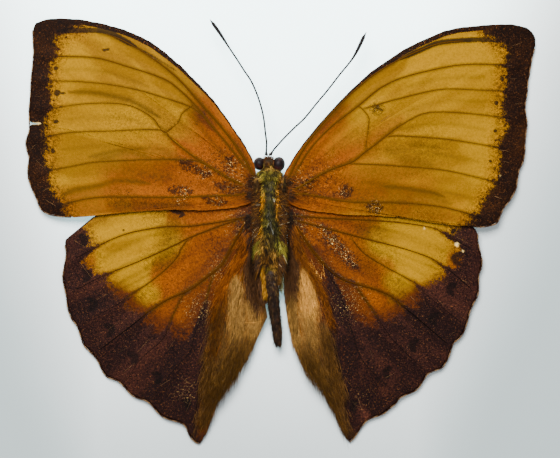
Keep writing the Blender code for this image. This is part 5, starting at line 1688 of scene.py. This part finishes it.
build_wing_hair(LEFT_HINDWING, [
    (500, [(-2.4, -0.5), (-2.8, -3.5)], 0.35, 1.1, (-0.6, -0.8), DARK_HAIR),
    (900, [(-2.9, -3.6), (-3.2, -6.2)], 0.45, 1.6, (-0.5, -0.8), DARK_HAIR),
    (1300, [(-3.2, -3.5), (-3.9, -7.3), (-5.4, -9.0), (-6.8, -12.0), (-7.8, -16.0)], 0.36, 2.2, (-0.45, -0.9),
     FLAME_HAIR),
    (2200, [(-2.6, -7.0), (-2.2, -12.9)], 0.70, 1.7, (-0.05, -1.0), PLUM_HAIR),
    (2000, [(-5.2, -11.0), (-4.8, -18.6)], 0.75, 1.5, (-0.10, -1.0), BEIGE_HAIR, 0.05, 0.016),
    (1300, [(-2.6, -13.8), (-2.4, -18.6)], 0.65, 1.3, (-0.10, -1.0), BEIGE_HAIR, 0.05, 0.016),
    (420, [(-2.2, -12.0), (-1.8, -15.6)], 0.45, 1.4, (-0.10, -1.0), PLUM_HAIR),
    (5, [(-3.8, -17.60), (-3.7, -17.62)], 0.02, 2.5, (1.0, 0.0), CREAM_HAIR, 0.04, 0.030),
    (3600, [(-3.8, -20.6), (-5.2, -23.0), (-7.4, -27.0)], 0.95, 2.4, (-0.28, -0.95), TAWNY_HAIR),
    (2300, [(-7.2, -14.0), (-8.4, -21.0), (-9.4, -28.0)], 0.55, 2.4, (-0.25, -0.95), BROWN_HAIR),
    (1200, [(-6.6, -12.0), (-7.6, -17.0), (-8.2, -21.0)], 0.45, 2.2, (-0.25, -0.95), RUST_HAIR),
    (1300, [(-7.2, -26.0), (-9.6, -32.0)], 0.7, 2.4, (-0.30, -0.95), BROWN_HAIR)],
    [(-29.4, -5.25, -27.3, -6.6), (-28.5, -8.55, -26.1, -11.85), (-22.8, -22.2, -20.7, -21),
     (-16.5, -27.15, -14.7, -25.95), (-9.75, -1.05, -4.8, -5.25), (-18.6, -19.05, -17.1, -17.25),
     (-30, -17.25, -27.3, -16.05), (-24.3, -18.75, -21.9, -16.95), (-19.8, -22.05, -18, -19.95),
     (-13.8, -29.25, -12.6, -27.45), (-15.3, -21.75, -14.1, -19.95), (-21.9, -25.05, -20.1, -23.55),
     (-12.6, -31.05, -11.7, -28.95), (-26.1, -14.25, -23.7, -13.05)])
build_wing_hair(RIGHT_HINDWING, [
    (500, [(2.5, -0.5), (2.8, -3.5)], 0.35, 1.1, (0.6, -0.8), DARK_HAIR),
    (700, [(2.8, -3.6), (3.0, -6.2)], 0.40, 1.6, (0.4, -0.9), DARK_HAIR),
    (1300, [(3.2, -3.0), (3.8, -6.5), (5.6, -9.2), (7.4, -12.5),
            (8.8, -17.0)], 0.34, 2.2, (0.45, -0.9), RUST_HAIR),
    (2500, [(3.3, -5.5), (3.0, -13.2)], 0.60, 1.8, (0.08, -1.0), PLUM_HAIR),
    (1300, [(3.1, -12.5), (3.7, -20.5)], 0.40, 1.8, (0.10, -1.0), BEIGE_HAIR),
    (1800, [(5.2, -9.3), (5.6, -15.5)], 0.78, 1.5, (0.12, -1.0), CREAM_HAIR, 0.05, 0.016),
    (1500, [(5.7, -16.0), (6.1, -20.5)], 0.80, 1.5, (0.14, -1.0), BEIGE_HAIR, 0.05, 0.016),
    (3000, [(4.8, -21.0), (6.2, -24.0), (8.2, -28.0)], 0.80, 2.4, (0.30, -0.95), TAWNY_HAIR),
    (1500, [(7.8, -17.5), (9.0, -23.0), (10.2, -28.0)], 0.50, 2.3, (0.26, -0.95), BROWN_HAIR),
    (1300, [(8.0, -27.0), (10.6, -33.0)], 0.7, 2.4, (0.30, -0.95), BROWN_HAIR)],
    [(27.9, -4.8, 30.6, -6.15), (26.7, -19.95, 27.9, -18.75), (13.2, -28.95, 13.95, -31.35),
     (22.5, -25.05, 23.1, -23.25), (20.1, -22.05, 21, -20.55), (17.25, -25.95, 18.9, -25.05),
     (15, -21.75, 15.6, -23.55), (25.2, -14.25, 26.4, -15.45), (21, -13.65, 22.2, -14.85),
     (28.8, -11.25, 30, -11.85)])


# Floor, light and camera

def floor_finish():
    floor = Finish("pale_floor", Specular_Ior_Level=0.2, Emission_Strength=1.0)
    clouds = floor.noise(30.0, 2.0, 0.5)
    x, y = floor.coordinate("X"), floor.coordinate("Y")
    # Painted light: the floor is lighter and glows towards the top, and is darker towards the bottom and the
    # sides.
    level = y - floor.limit("MAXIMUM", x - 0.022) * 2.4
    level = level + floor.limit("MINIMUM", x + 0.026) * 2.2
    daylight = floor.rise(-0.062, 0.028, level + (clouds - 0.5) * 0.01)
    tone = floor.mix((0.26, 0.31, 0.315), (0.97, 1.0, 1.0), daylight)
    glow = floor.mix((0.0, 0.0, 0.0), (1.4, 2.6, 2.7), floor.rise(-0.032, 0.036, level))
    return floor.wear(Base_Color=tone, Roughness=0.75 + clouds * 0.1, Emission_Color=glow)


def add_floor():
    half = 0.6
    mesh = bpy.data.meshes.new("floor")
    mesh.from_pydata([(-half, -half, 0.0), (half, -half, 0.0), (half, half, 0.0), (-half, half, 0.0)], [],
                     [(0, 1, 2, 3)])
    floor = bpy.data.objects.new("floor", mesh)
    bpy.context.collection.objects.link(floor)
    mesh.materials.append(floor_finish())


def add_light(name, place, size, power, colour):
    """A square area light that looks at the middle of the butterfly."""
    lamp = bpy.data.lights.new(name, "AREA")
    lamp.size = size
    lamp.energy = power
    lamp.color = colour
    light = bpy.data.objects.new(name, lamp)
    light.location = place
    aim = -light.location.normalized()
    light.rotation_euler = aim.to_track_quat("-Z", "Y").to_euler()
    bpy.context.collection.objects.link(light)


def add_camera():
    """The camera looks straight down on the middle of the picture."""
    lens = bpy.data.cameras.new("camera")
    lens.sensor_width = 36.0
    lens.lens = 200.0
    camera = bpy.data.objects.new("camera", lens)
    camera.location = (0.0015, -0.0036, 0.4677)
    lens.clip_start = 0.01
    bpy.context.collection.objects.link(camera)
    bpy.context.scene.camera = camera


add_floor()
add_light("window", (-0.06, 0.20, 0.34), 0.22, 6.0, (1.0, 0.99, 0.97))
add_light("fill", (0.20, -0.15, 0.40), 0.40, 0.8, (0.93, 0.97, 1.0))
world = bpy.data.worlds.new("studio")
bpy.context.scene.world = world
world.use_nodes = True
world.node_tree.nodes["Background"].inputs["Color"].default_value = (0.93, 0.97, 1.0, 1.0)
world.node_tree.nodes["Background"].inputs["Strength"].default_value = 0.75
add_camera()
